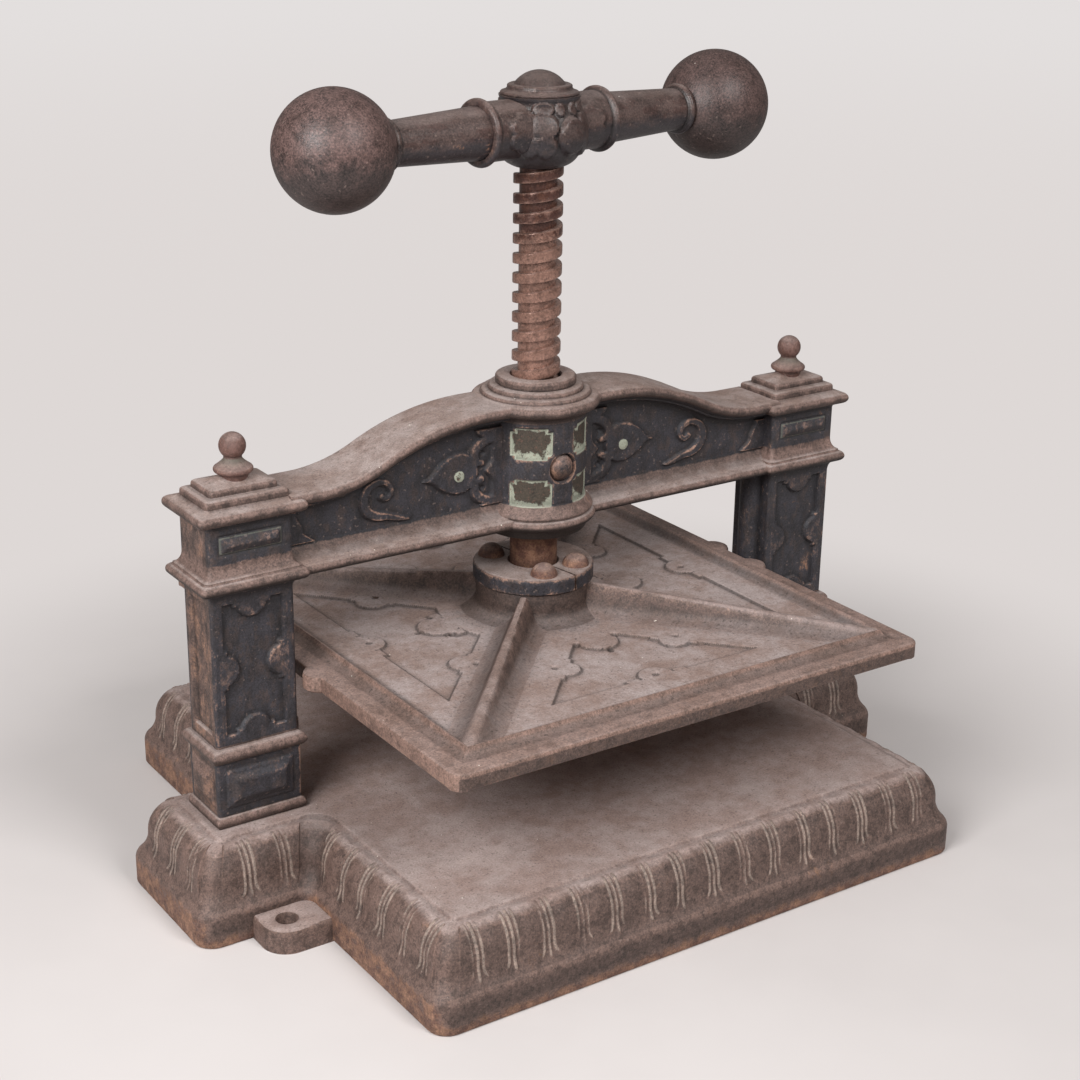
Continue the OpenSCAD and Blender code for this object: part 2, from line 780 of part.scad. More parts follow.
// The ribs, cut off along the middle of the rim's crest
module platen_ribs() {
    intersection() {
        union() {
            for (sx = [-1, 1], sy = [-1, 1]) diagonal_rib(sx, sy);
        }
        translate([-crest_mid_w / 2, -crest_mid_d / 2, platen_z])
            cube([crest_mid_w, crest_mid_d, platen_boss_h]);
    }
}

module platen_boss() {
    foot = platen_boss_r + boss_flare;
    rotate_extrude($fn = 96)
        polygon(concat([[0, lip_z - 1], [foot, lip_z - 1]],
            arc([foot, lip_z + boss_flare], boss_flare, 270, 180),
            [[platen_boss_r, platen_boss_z], [0, platen_boss_z]]));
}

module at_collar_screws(z) {
    for (turn = collar_screw_turns) rotate([0, 0, turn]) translate([collar_pcr, 0, z]) children();
}

module platen() {
    pocket_r = foot_r + running_gap;
    screw_hole_r = collar_screw_d / 2 + locating_fit;
    color(iron) difference() {
        union() {
            translate([-platen_w / 2, -platen_d / 2, platen_z]) cube([platen_w, platen_d, lip_t]);
            platen_rim();
            platen_boss();
            platen_ribs();
            for (x = [-1, 1], y = [-1, 1])
                translate([x * knuckle_x, y * knuckle_y, platen_z]) cylinder(lip_t, knuckle_r, knuckle_r);
        }
        translate([0, 0, foot_z - running_gap]) cylinder(platen_boss_h, pocket_r, pocket_r);
        translate([0, 0, pad_z]) cylinder(platen_boss_h, pad_r + locating_fit, pad_r + locating_fit);
        at_collar_screws(platen_boss_z - collar_screw_l) cylinder(platen_boss_h, screw_hole_r, screw_hole_r);
    }
}

module thrust_pad() {
    color(bronze) translate([0, 0, pad_z]) cylinder(pad_t, pad_r, pad_r);
}

// The half of the split ring that stays when the other side of the slit is cut away
module collar_half(side) {
    bore_r = screw_r + running_gap;
    screw_hole_r = collar_screw_d / 2 + locating_fit;
    difference() {
        translate([0, 0, platen_boss_z]) rotate_extrude($fn = 96)
            polygon([[bore_r, 0], [collar_r, 0], [collar_r, collar_t - 1.5], [collar_r - 1.5, collar_t],
                [bore_r, collar_t]]);
        at_collar_screws(platen_boss_z - 1) cylinder(collar_t + 2, screw_hole_r, screw_hole_r);
        rotate([0, 0, collar_split + side]) translate([-collar_r - 1, -collar_kerf / 2, platen_boss_z - 1])
            cube([2 * collar_r + 2, collar_r + 2, collar_t + 2]);
    }
}

module right_collar_half() {
    color(iron) collar_half(0);
}

module left_collar_half() {
    color(iron) collar_half(180);
}

module collar_screws() {
    color(rust) at_collar_screws(collar_z)
        dome_screw(collar_head_d / 2, collar_head_h, collar_screw_d / 2, collar_t + collar_screw_l - 1);
}

// Screw and handle

module turned() {
    rotate([0, 0, handle_turn]) children();
}

module press_screw() {
    color(steel) difference() {
        union() {
            translate([0, 0, foot_z]) cylinder(foot_t, foot_r, foot_r);
            translate([0, 0, foot_z]) cylinder(thread_z - foot_z, screw_r, screw_r);
            thread_rod(root_r, screw_r, ridge_w, thread_z, hub_z);
            translate([0, 0, hub_z - 1]) cylinder(hub_h + 1, journal_r, journal_r);
            translate([0, 0, hub_z]) cylinder(hub_h + stud_l, stud_r, stud_r);
        }
        turned() key_block(locating_fit);
    }
}

module key_block(gap) {
    side = key_w + 2 * gap;
    translate([-side / 2, journal_r - side / 2, hub_top_z - key_h - gap]) cube([side, side, key_h + gap]);
}

module hub_key() {
    color(steel) turned() key_block(0);
}

// Lays its children, drawn along +Z, out along the handle's right arm
module along_arm() {
    translate([0, 0, handle_z]) rotate([0, 90, 0]) children();
}

module on_left() {
    mirror([1, 0, 0]) children();
}

module hub_socket() {
    along_arm() {
        cylinder(ring_reach - ring_t / 2, barrel_r, barrel_r);
        translate([0, 0, ring_reach - ring_t]) rotate_extrude() {
            square([ring_d / 2 - ring_t / 2, ring_t]);
            translate([ring_d / 2 - ring_t / 2, ring_t / 2]) circle(ring_t / 2, $fn = 24);
        }
    }
}

module handle_hub() {
    bulb = concat([[0, 0], [screw_r + 4, 0], [screw_r + 6, 4]],
        arc([hub_r - 18, 0.55 * hub_h], 18, -50, 55),
        [[cap_washer_d / 2 + 1, hub_h - 4], [cap_washer_d / 2 + 1, hub_h], [0, hub_h]]);
    socket_r = arm_tenon_r + locating_fit;
    color(iron) turned() difference() {
        union() {
            translate([0, 0, hub_z]) rotate_extrude($fn = 96) polygon(bulb);
            hub_socket();
            on_left() hub_socket();
        }
        translate([0, 0, hub_z - 1]) cylinder(hub_h + 2, journal_r + locating_fit, journal_r + locating_fit);
        key_block(locating_fit);
        for (side = [0, 1]) mirror([side, 0, 0]) along_arm()
            translate([0, 0, arm_tenon_start]) cylinder(ring_reach, socket_r, socket_r);
    }
}

module arm() {
    collar_l = 5;
    neck_r = arm_tip_d / 2 + 1;
    collar_rim = arm_tip_d / 2 + 3;
    along_arm() {
        translate([0, 0, arm_tenon_start + locating_fit])
            cylinder(ring_reach - arm_tenon_start + 1, arm_tenon_r, arm_tenon_r);
        translate([0, 0, ring_reach])
            cylinder(ball_seat - collar_l / 2 - ring_reach, arm_root_d / 2, arm_tip_d / 2);
        translate([0, 0, ball_seat - collar_l]) rotate_extrude()
            polygon([[0, 0], [neck_r, 0], [collar_rim, 1.5], [collar_rim, collar_l - 1.5],
                [neck_r, collar_l], [0, collar_l]]);
        translate([0, 0, ball_seat - 1])
            cylinder(ball_tenon_l + 1 - locating_fit, arm_tip_tenon_r, arm_tip_tenon_r);
    }
}

module right_arm() {
    color(iron) turned() arm();
}

module left_arm() {
    color(iron) turned() on_left() arm();
}

module ball() {
    socket_r = arm_tip_tenon_r + locating_fit;
    along_arm() difference() {
        translate([0, 0, ball_reach]) sphere(ball_r, $fn = 96);
        translate([0, 0, ball_seat - ball_r]) cylinder(ball_r, ball_r, ball_r);
        translate([0, 0, ball_seat - 1]) cylinder(ball_tenon_l + 1, socket_r, socket_r);
    }
}

module right_ball() {
    color(rust) turned() ball();
}

module left_ball() {
    color(rust) turned() on_left() ball();
}

module cap_washer() {
    hole_r = stud_r + locating_fit;
    rim = cap_washer_d / 2;
    color(iron) translate([0, 0, hub_top_z]) difference() {
        rotate_extrude() polygon([[0, 0], [rim, 0], [rim, 1.5], [rim - 3, cap_washer_t], [0, cap_washer_t]]);
        translate([0, 0, -1]) cylinder(cap_washer_t + 2, hole_r, hole_r);
    }
}

module cap_nut() {
    hole_r = stud_r + locating_fit;
    color(iron) translate([0, 0, cap_nut_z]) difference() {
        dome_screw(cap_d / 2, cap_nut_h, stud_r, 0);
        translate([0, 0, -1]) cylinder(stud_l - cap_washer_t + 1.5, hole_r, hole_r);
    }
}

base();
left_column();
right_column();
crosshead();
left_tie_rod();
right_tie_rod();
rod_washers();
left_finial();
right_finial();
screw_nut();
front_nut_screw();
rear_nut_screw();
platen();
thrust_pad();
left_collar_half();
right_collar_half();
collar_screws();
press_screw();
handle_hub();
hub_key();
left_arm();
right_arm();
left_ball();
right_ball();
cap_washer();
cap_nut();
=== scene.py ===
"""Looks of an aged iron copying press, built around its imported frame. Shapes are drawn in millimetres."""
import json
import math

import bpy
import numpy as np
from mathutils import Matrix, Vector


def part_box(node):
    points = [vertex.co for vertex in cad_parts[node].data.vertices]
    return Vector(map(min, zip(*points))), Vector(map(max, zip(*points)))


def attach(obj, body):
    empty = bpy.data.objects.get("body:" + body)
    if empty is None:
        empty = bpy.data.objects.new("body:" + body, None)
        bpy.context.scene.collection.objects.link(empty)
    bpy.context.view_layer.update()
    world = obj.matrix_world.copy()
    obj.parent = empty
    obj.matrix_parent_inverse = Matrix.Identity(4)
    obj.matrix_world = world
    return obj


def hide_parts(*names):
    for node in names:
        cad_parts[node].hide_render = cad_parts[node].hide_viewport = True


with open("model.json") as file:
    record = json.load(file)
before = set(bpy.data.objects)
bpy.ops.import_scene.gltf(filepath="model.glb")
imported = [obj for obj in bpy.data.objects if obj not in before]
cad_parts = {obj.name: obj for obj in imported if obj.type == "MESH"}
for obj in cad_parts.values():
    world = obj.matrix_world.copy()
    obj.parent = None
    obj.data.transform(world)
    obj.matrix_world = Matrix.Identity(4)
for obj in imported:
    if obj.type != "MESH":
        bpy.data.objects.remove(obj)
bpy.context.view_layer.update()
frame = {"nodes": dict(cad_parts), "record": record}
MM = 0.001
BODIES = {node: body for body, nodes in frame["record"]["behaviour"]["bodies"].items() for node in nodes}


def box_mm(node):
    """Lowest and highest corner of a node in millimetres."""
    low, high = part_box(node)
    return np.array(low) / MM, np.array(high) / MM


# Main sizes, in millimetres, as the frame has them
BED_W, BED_D = 407, 422
WING_W, WING_D = 554, 111
BASE_H = 60.4
FOOT_H, SHOULDER_R = 18, 9
WAIST_IN, WAIST_H = 7.5, 38
BULGE_R, SKIRT_RUN, BED_EDGE = 10, 21.5, 1.8
COL_X, COL_W, COL_D = 217.5, 57, 40
BEAM_Z = 217.5
CREST_H, SHOULDER_H = 83.5, 53
PLATEN_W, PLATEN_D = 357, 378
PLATEN_Z, LIP_T, RIM_H = 141, 11.2, 5.2
SCREW_R, ROOT_R, PITCH, RIDGE_W = 15.875, 12, 12.7, 6.7
HANDLE_TURN = math.radians(7.6)
BALL_R, BALL_REACH, BALL_SEAT = 36.2, 157.3, 124
CORNERS = [(-1, -1), (-1, 1), (1, -1), (1, 1)]


# Shape helpers

def smooth(low, high, x):
    """0 below low, 1 above high, and an S-curve between them."""
    t = np.clip((np.asarray(x, float) - low) / (high - low), 0, 1)
    return t * t * (3 - 2 * t)


def arc(cx, cy, rx, ry, start, end, count):
    """Points of an elliptical arc, angles in degrees."""
    a = np.radians(np.linspace(start, end, count))
    return list(zip(cx + rx * np.cos(a), cy + ry * np.sin(a)))


def to_segment(x, y, a, b):
    """Distance of points from the segment a-b, and how far along it the nearest point lies."""
    dx, dy = b[0] - a[0], b[1] - a[1]
    t = np.clip(((x - a[0]) * dx + (y - a[1]) * dy) / (dx * dx + dy * dy), 0, 1)
    return np.hypot(x - a[0] - t * dx, y - a[1] - t * dy), t


def curve_through(knots, steps=8):
    """A smooth line through knots, each a tuple of numbers of equal count."""
    p = np.array(knots, float)
    p = np.vstack([2 * p[0] - p[1], p, 2 * p[-1] - p[-2]])
    t = np.linspace(0, 1, steps, endpoint=False)[:, None]
    rows = []
    for a, b, c, d in zip(p, p[1:], p[2:], p[3:]):
        rows.append(0.5 * (2 * b + (c - a) * t + (2 * a - 5 * b + 4 * c - d) * t ** 2
                           + (3 * b - a - 3 * c + d) * t ** 3))
    return np.vstack([*rows, p[-2:-1]])


def stroke(x, y, knots):
    """Signed distance from a brush stroke along knots (x, y, half width): negative inside."""
    line = curve_through(knots)
    best = np.full(np.shape(x), 1e9)
    for a, b in zip(line[:-1], line[1:]):
        d, t = to_segment(x, y, a, b)
        best = np.minimum(best, d - (a[2] + t * (b[2] - a[2])))
    return best


def raised(distance, height, edge=0.9):
    """Relief that stands up inside a signed distance of 0, with a soft edge."""
    return height * smooth(edge, -edge, distance)


class Shell:
    """Points and faces of one or more closed skins, with named tints for their points."""

    def __init__(self):
        self.points = []
        self.faces = []
        self.tints = {}
        self.count = 0

    def add(self, points, quads, caps, tints=None):
        """Adds one closed skin, turned right side out. A tint is a number, or rows of one for each point."""
        points = np.asarray(points, float)
        step = -1 if signed_volume(points, quads, caps) < 0 else 1
        self.faces += (quads[:, ::step] + self.count).tolist()
        self.faces += [[i + self.count for i in cap[::step]] for cap in caps]
        for name, values in (tints or {}).items():
            spread = np.broadcast_to(np.ravel(values), len(points))
            self.tints.setdefault(name, []).append((self.count, spread))
        self.points.append(points)
        self.count += len(points)
        return self

    def tint(self, name):
        values = np.zeros(self.count)
        for start, part in self.tints[name]:
            values[start:start + len(part)] = part
        return values


def signed_volume(points, quads, caps):
    a, b, c, d = (points[quads[:, i]] for i in range(4))
    total = np.sum(a * np.cross(b, c)) + np.sum(a * np.cross(c, d))
    for cap in caps:
        fan = points[np.array(cap)]
        total += np.sum(np.cross(fan[1:-1], fan[2:]) @ fan[0])
    return total


def loft(rings, looped=False):
    """A closed skin through rings of equal count, capped at both ends or looped back to the first ring."""
    rings = np.asarray(rings, float)
    n, m, _ = rings.shape
    here = np.arange(n * m).reshape(n, m)
    there = np.roll(here, -1, axis=1)
    quads = np.stack([here, there, np.roll(there, -1, axis=0), np.roll(here, -1, axis=0)], axis=-1)
    if looped:
        return rings.reshape(-1, 3), quads.reshape(-1, 4), []
    return rings.reshape(-1, 3), quads[:-1].reshape(-1, 4), [here[0, ::-1].tolist(), here[-1].tolist()]


def round_angles(sides):
    return np.linspace(0, 2 * math.pi, sides, endpoint=False)


def ring(angle, radius, height):
    """Points about Z at a height. The radius is a number, or one for each angle."""
    level = np.full(len(angle), float(height))
    return np.column_stack([radius * np.cos(angle), radius * np.sin(angle), level])


def turned(profile, sides=72, relief=None, looped=False):
    """A skin of revolution about Z through (radius, height) pairs, moved out by relief(angle, row)."""
    angle = round_angles(sides)
    rings = []
    for row, (radius, height) in enumerate(profile):
        rings.append(ring(angle, radius + (relief(angle, row) if relief else 0), height))
    return loft(rings, looped)


def moved(skin, matrix):
    points, quads, caps = skin
    m = np.array(matrix)
    return points @ m[:3, :3].T + m[:3, 3], quads, caps


def along_arm(side):
    """Matrix that lays a skin drawn along +Z out along one arm of the handle."""
    axis_z = box_mm("left_arm")[0][2] + box_mm("left_arm")[1][2]
    lift = Matrix.Translation((0, 0, axis_z / 2))
    swing = Matrix.Rotation(HANDLE_TURN + (0 if side > 0 else math.pi), 4, "Z")
    return lift @ swing @ Matrix.Rotation(math.pi / 2, 4, "Y")


# Materials

class Graph:
    """Short names for building one material's nodes."""

    def __init__(self, name):
        self.material = bpy.data.materials.new(name)
        self.material.use_nodes = True
        self.nodes = self.material.node_tree.nodes
        self.shader = self.nodes["Principled BSDF"]
        self.place = self.node("TexCoord").outputs["Object"]
        normal = self.node("NewGeometry").outputs["Normal"]
        self.up = self.node("SeparateXYZ", {0: normal}).outputs["Z"]

    def fill(self, node, inputs):
        """Puts values, or other nodes' sockets, into a node's inputs."""
        for key, value in inputs.items():
            if isinstance(value, bpy.types.NodeSocket):
                self.material.node_tree.links.new(value, node.inputs[key])
            else:
                node.inputs[key].default_value = value
        return node

    def node(self, kind, inputs=None, **settings):
        node = self.nodes.new("ShaderNode" + kind)
        for name, value in settings.items():
            setattr(node, name, value)
        return self.fill(node, inputs or {})

    def math(self, kind, a, b):
        return self.node("Math", {0: a, 1: b}, operation=kind).outputs[0]

    def times(self, a, b):
        return self.math("MULTIPLY", a, b)

    def step(self, value, low, high, start=0.0, end=1.0):
        """A smooth step of value from low to high."""
        inputs = {"Value": value, "From Min": low, "From Max": high, "To Min": start, "To Max": end}
        return self.node("MapRange", inputs, interpolation_type="SMOOTHSTEP").outputs["Result"]

    def mix(self, share, a, b):
        return self.node("Mix", {"Factor": share, "A": a, "B": b}, data_type="RGBA").outputs["Result"]

    def shade(self, colour, factor):
        """The colour times a grey factor."""
        vector = colour[:3] if isinstance(colour, tuple) else colour
        return self.node("VectorMath", {0: vector, "Scale": factor}, operation="SCALE").outputs[0]

    def noise(self, size, detail=4.0, rough=0.6, stretch=(1, 1, 1), offset=0.0):
        """Noise from 0 to 1 with features of about size millimetres."""
        shift = (offset, 1.7 * offset, -offset)
        place = self.node("Mapping", {"Vector": self.place, "Scale": stretch, "Location": shift}).outputs[0]
        inputs = {"Vector": place, "Scale": 1 / (size * MM), "Detail": detail, "Roughness": rough}
        return self.node("TexNoise", inputs).outputs["Fac"]

    def attribute(self, name):
        return self.node("Attribute", attribute_name=name).outputs["Fac"]

    def bump(self, height, strength, distance, under=None):
        """Normals of an uneven skin with a depth in millimetres, laid over other normals if given."""
        node = self.node("Bump", {"Height": height, "Strength": strength, "Distance": distance * MM})
        if under is not None:
            self.fill(node, {"Normal": under})
        return node.outputs["Normal"]


def rgb(red, green, blue):
    """A colour as a screen shows it, 0 to 255, made linear."""
    parts = [c / 255 for c in (red, green, blue)]
    return (*[c / 12.92 if c <= 0.04045 else ((c + 0.055) / 1.055) ** 2.4 for c in parts], 1)


BLACK_PAINT = rgb(50, 48, 53)
BARE_BROWN = rgb(118, 96, 88)
WORN_BROWN = rgb(140, 110, 95)
RUST_RED = rgb(106, 74, 61)
RUST_ORANGE = rgb(142, 106, 83)
DUST_GREY = rgb(172, 159, 155)
DUST_BROWN = rgb(150, 130, 121)
VERDIGRIS = rgb(162, 166, 149)
OLD_GOLD = rgb(62, 54, 45)
CHIP_WHITE = rgb(232, 224, 212)


class Iron(Graph):
    """Aged iron, laid on in layers. Its tints are edge and deep (how far a point stands out or lies in a
    hollow), bare (paint lost to brown iron), rusted, a tint of painted shade and soot (painted shade under
    things, in creases and on some faces, and a darker tone on a few whole parts), and gilt (old gilding with
    a pale crust)."""

    def __init__(self, name, stretch):
        super().__init__(name)
        self.edge, self.deep, self.bare, self.rusted, self.sooty, self.gilt = (
            self.attribute(tint) for tint in ("edge", "deep", "bare", "rusted", "sooty", "gilt"))
        self.broad = self.noise(40, 6, 0.62)
        self.patch = self.noise(9, 7, 0.72, stretch, offset=3.1)
        self.grit = self.noise(2.4, 4, 0.72, offset=7.7)
        self.grain = self.noise(1.2, 2, 0.6, offset=1.3)
        self.stained = self.step(self.noise(7, 6, 0.72, stretch, offset=21.0), 0.5, 0.58)

    def wobble(self, value, *swings):
        """The value moved up and down by (noise, amount) pairs."""
        for noise, amount in swings:
            value = self.math("ADD", value, self.times(self.math("SUBTRACT", noise, 0.5), amount))
        return value

    def rough(self, value, patch, grit):
        """The value moved up and down by patches and by grit."""
        return self.wobble(value, (self.patch, patch), (self.grit, grit))

    def paint(self, ground, stain, under, mottling):
        """A mottled, stained coat with pale specks; under, if given, is painted shade where it faces down.
        """
        fine = ((self.patch, 1.2 * mottling), (self.grain, 1.5 * mottling))
        self.mottle = self.wobble(1.0, *fine, (self.broad, 0.7))
        ground = self.mix(self.stained, ground, stain)
        if under is not None:
            ground = self.mix(self.step(self.rough(self.up, 1.4, 0.6), 0.15, -0.35), ground, under)
        coat = self.shade(ground, self.mottle)
        coat = self.mix(self.step(self.grit, 0.58, 0.63, end=0.65), coat, self.shade(ground, 0.4))
        speck = self.step(self.noise(2.6, 1, 0.5, offset=5.3), 0.68, 0.74, end=0.3)
        return self.mix(speck, coat, DUST_BROWN)

    def rub(self, coat, worn, wear):
        """Edges worn to a lighter tone."""
        exposed = self.math("ADD", self.edge, self.times(self.up, 0.12))
        rubbed = self.step(self.rough(exposed, 0.8, 0.5), 0.12, 0.34, end=wear)
        return self.mix(rubbed, coat, self.shade(worn, self.mottle))

    def strip(self, coat, bare, shade_below):
        """Paint lost to pitted brown iron, with painted shade where it faces down if asked."""
        brown = self.mix(self.stained, bare, self.shade(bare, 0.72))
        if shade_below:
            brown = self.shade(brown, self.step(self.rough(self.up, 1.2, 0.8), -0.25, 0.4, start=0.35))
        pitted = self.step(self.grit, 0.56, 0.62, end=0.6)
        brown = self.mix(pitted, self.shade(brown, self.mottle), self.shade(bare, 0.35))
        return self.mix(self.step(self.rough(self.bare, 0.7, 0.5), 0.4, 0.56), coat, brown)

    def corrode(self, coat, rust):
        """Rust in patches, more of it where the tint says so."""
        here = self.wobble(self.patch, (self.broad, 0.9), (self.grit, 0.4))
        patches = self.step(here, 0.76 - 0.2 * rust, 0.9 - 0.2 * rust)
        self.rusty = self.math("MAXIMUM", patches, self.step(self.rough(self.rusted, 1.2, 0.6), 0.35, 0.75))
        tone = self.shade(self.mix(self.step(self.patch, 0.42, 0.6), RUST_RED, RUST_ORANGE), self.mottle)
        return self.mix(self.times(self.rusty, 0.65), coat, tone)

    def gild(self, coat):
        """Dull gilding with rust spots, and a pale crust towards its edges."""
        crust = self.step(self.rough(self.gilt, 1.8, 0.8), 0.56, 0.36)
        pale = self.shade(VERDIGRIS, self.wobble(1.0, (self.grit, 1.2)))
        gold = self.mix(crust, self.shade(OLD_GOLD, self.mottle), pale)
        gold = self.mix(self.step(self.grit, 0.57, 0.65, end=0.7), gold, RUST_RED)
        return self.mix(self.step(self.gilt, 0.02, 0.12), coat, gold)

    def add_painted_shade(self, coat, soot):
        """Painted shade in hollows, and painted shade and soot where the tint says so."""
        hollow = self.step(self.wobble(self.deep, (self.patch, 0.6)), 0.08, 0.6, end=soot)
        tinted = self.step(self.rough(self.sooty, 0.9, 0.6), 0.1, 0.9, end=0.75)
        self.shaded = self.math("MAXIMUM", hollow, tinted)
        return self.shade(coat, self.math("SUBTRACT", 1.0, self.shaded))

    def powder(self, coat, dust, dust_from, dust_by_bare, dusts):
        """Dust of two tones on what faces up, less of it on edges, and white chips."""
        settle = self.rough(self.up, 0.35, 0.3)
        settle = self.math("SUBTRACT", settle, self.times(self.step(self.edge, 0.05, 0.5), 0.3))
        lying = self.step(settle, dust_from, dust_from + 0.35, end=dust)
        self.lying = self.times(lying, self.step(self.bare, 0.0, 0.8, *dust_by_bare))
        tone = self.mix(self.step(self.wobble(self.broad, (self.patch, 0.6)), 0.3, 0.7), *dusts)
        tone = self.shade(tone, self.wobble(1.0, (self.grain, 0.9), (self.patch, 0.45)))
        tone = self.mix(self.step(self.grit, 0.59, 0.64, end=0.6), tone, self.shade(dusts[0], 0.4))
        # The dust takes the painted shade as well.
        tone = self.shade(tone, self.math("SUBTRACT", 1.0, self.times(self.shaded, 0.9)))
        colour = self.mix(self.lying, coat, tone)
        chip = self.step(self.noise(3.2, 1, 0.5, offset=11.0), 0.81, 0.83)
        return self.mix(self.times(chip, self.step(self.up, 0.5, 0.8)), colour, CHIP_WHITE)

    def surface(self, colour, gloss, metal, rough_cast):
        """Sets the shader: dust and rust are matt, and the casting's skin is uneven."""
        paint = self.wobble(1.1 - 0.95 * gloss, (self.patch, 0.4))
        matt = self.math("MAXIMUM", paint, self.times(self.lying, 0.92))
        matt = self.math("MAXIMUM", matt, self.times(self.rusty, 0.8))
        relief = self.math("ADD", self.times(self.patch, 0.45), self.times(self.grit, 0.55))
        coarse = self.bump(relief, 0.8 * rough_cast, 0.9)
        skin = self.bump(self.grain, 0.5 * rough_cast, 0.35, coarse)
        self.fill(self.shader, {"Base Color": colour, "Metallic": metal, "Roughness": matt, "Normal": skin})


def aged_iron(name, ground, stain, under=None, bare=BARE_BROWN, worn=WORN_BROWN, wear=1.0, rust=0.1,
              soot=0.35, mottling=1.0, dust=1.0, dust_from=0.45, dust_by_bare=(1.0, 1.0),
              dusts=(DUST_BROWN, DUST_GREY), gloss=0.5, metal=0.0, rough_cast=1.0, stretch=(1, 1, 1)):
    """Painted or bare iron with wear, rust, gilding, dust, some soot, and painted shade."""
    iron = Iron(name, stretch)
    coat = iron.paint(ground, stain, under, mottling)
    coat = iron.rub(coat, worn, wear)
    coat = iron.strip(coat, bare, under is not None)
    coat = iron.corrode(coat, rust)
    coat = iron.gild(coat)
    coat = iron.add_painted_shade(coat, soot)
    colour = iron.powder(coat, dust, dust_from, dust_by_bare, dusts)
    iron.surface(colour, gloss, metal, rough_cast)
    return iron.material


# Each under colour is painted shade, laid where the iron faces down.
black_iron = aged_iron("black_japanned_iron", BLACK_PAINT, rgb(62, 53, 52), under=rgb(42, 39, 42),
                       mottling=1.3, dust_by_bare=(0.12, 0.8), dust_from=0.62, stretch=(1, 1, 0.6),
                       dusts=(rgb(142, 121, 112), rgb(168, 154, 149)))
base_iron = aged_iron("brown_base_iron", rgb(108, 87, 79), rgb(88, 70, 63), bare=rgb(139, 122, 112),
                      dust=0.9, dust_from=0.66, dust_by_bare=(1.0, 0.3), wear=0.3, rust=0.35, mottling=1.2,
                      dusts=(rgb(154, 132, 124), rgb(168, 152, 147)))
platen_iron = aged_iron("dusty_platen_iron", rgb(102, 82, 74), rgb(84, 67, 61), worn=rgb(138, 113, 102),
                        bare=rgb(130, 104, 93), mottling=1.3, dust_by_bare=(1.0, 0.3), rust=0.2,
                        dusts=(rgb(142, 120, 111), rgb(165, 150, 146)))
handle_iron = aged_iron("handle_iron", rgb(79, 64, 60), rgb(70, 52, 48), under=rgb(45, 40, 43),
                        worn=rgb(100, 78, 70), wear=0.25, mottling=1.5, soot=0.6, dust=0.2, dust_from=0.55,
                        gloss=0.72, rough_cast=0.6, stretch=(0.4, 1, 1))
ball_iron = aged_iron("ball_iron", rgb(89, 69, 65), rgb(74, 56, 52), under=rgb(58, 47, 45),
                      worn=rgb(89, 69, 65), mottling=2.0, dust=0.0, gloss=0.66, rough_cast=0.5)
rusty_iron = aged_iron("rusty_fittings", rgb(102, 75, 68), rgb(90, 62, 54), worn=rgb(116, 90, 81), rust=0.3,
                       dust=0.3)
rusty_steel = aged_iron("rusty_screw_steel", rgb(84, 57, 50), rgb(94, 63, 52), bare=rgb(144, 110, 97),
                        worn=rgb(150, 118, 105), wear=0.6, rust=0.1, dust=0.2, gloss=0.88, metal=0.35,
                        rough_cast=0.35)
bronze = aged_iron("dull_bronze", rgb(104, 86, 70), rgb(84, 70, 60), dust=0.8, rust=0.45)


# Pieces

SHARP_ANGLE = math.radians(38)


def rows_of(items, name, width, kind=float):
    """One property of a mesh's points or edges, as rows."""
    values = np.empty(len(items) * width, kind)
    items.foreach_get(name, values)
    return values.reshape(-1, width)


def bend_values(mesh, reach=1.6, shortest=0.4, passes=40):
    """For each point, how sharply it stands out (positive) or lies in a crease, times reach in millimetres,
    and how deep it lies in a wider hollow, in millimetres."""
    points = rows_of(mesh.vertices, "co", 3) / MM
    normals = rows_of(mesh.vertices, "normal", 3)
    pairs = rows_of(mesh.edges, "vertices", 2, int)
    first, second = pairs.T
    ends = pairs.T.ravel()
    edges_at = np.maximum(np.bincount(ends, minlength=len(points)), 1)

    def mean(at_first, at_second):
        """Mean over each point's edges of a value given at the first and at the second end of each edge."""
        return np.bincount(ends, np.concatenate([at_first, at_second]), len(points)) / edges_at

    def evened(values):
        return 0.5 * values + 0.5 * mean(values[second], values[first])

    gap = points[second] - points[first]
    gap *= reach / np.maximum(np.sum(gap * gap, axis=1), shortest ** 2)[:, None]
    bend = mean(-np.sum(normals[first] * gap, axis=1), np.sum(normals[second] * gap, axis=1))
    for _ in range(2):
        bend = evened(bend)
    even = points.T
    for _ in range(passes):
        even = np.array([evened(row) for row in even])
    deep = np.sum((even.T - points) * normals, axis=1)
    return {"edge": np.clip(bend, -1, 1), "deep": np.clip(deep, -1, 1)}


def add_piece(name, shell, material, nodes):
    """Makes a visible piece of a shell that stands for some nodes and rides on their body."""
    mesh = bpy.data.meshes.new(name)
    mesh.from_pydata((np.vstack(shell.points) * MM).tolist(), [], shell.faces)
    mesh.polygons.foreach_set("use_smooth", np.ones(len(mesh.polygons), bool))
    mesh.set_sharp_from_angle(angle=SHARP_ANGLE)
    mesh.update()
    tints = bend_values(mesh)
    tints.update((tint, shell.tint(tint)) for tint in shell.tints)
    for tint, values in tints.items():
        mesh.attributes.new(tint, "FLOAT", "POINT").data.foreach_set("value", values)
    piece = bpy.data.objects.new(name, mesh)
    bpy.context.scene.collection.objects.link(piece)
    mesh.materials.append(material)
    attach(piece, BODIES[nodes[0]])
    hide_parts(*nodes)


# Base: one cross-shaped skirt with gadroons, and four hold-down lugs

CONVEX_R, CONCAVE_R = 13, 8
REED_PITCH = 24.7
TONGUE_HALF, TONGUE_RISE, LINE_HALF = 8.5, 1.1, 1.7


def cross_corners(inset):
    bx, by = BED_W / 2 - inset, BED_D / 2 - inset
    wx, wy = WING_W / 2 - inset, WING_D / 2 - inset
    quarter = [(bx, -by), (bx, -wy), (wx, -wy)]
    half = quarter + [(x, -y) for x, y in quarter[::-1]]
    return half + [(-x, -y) for x, y in half]


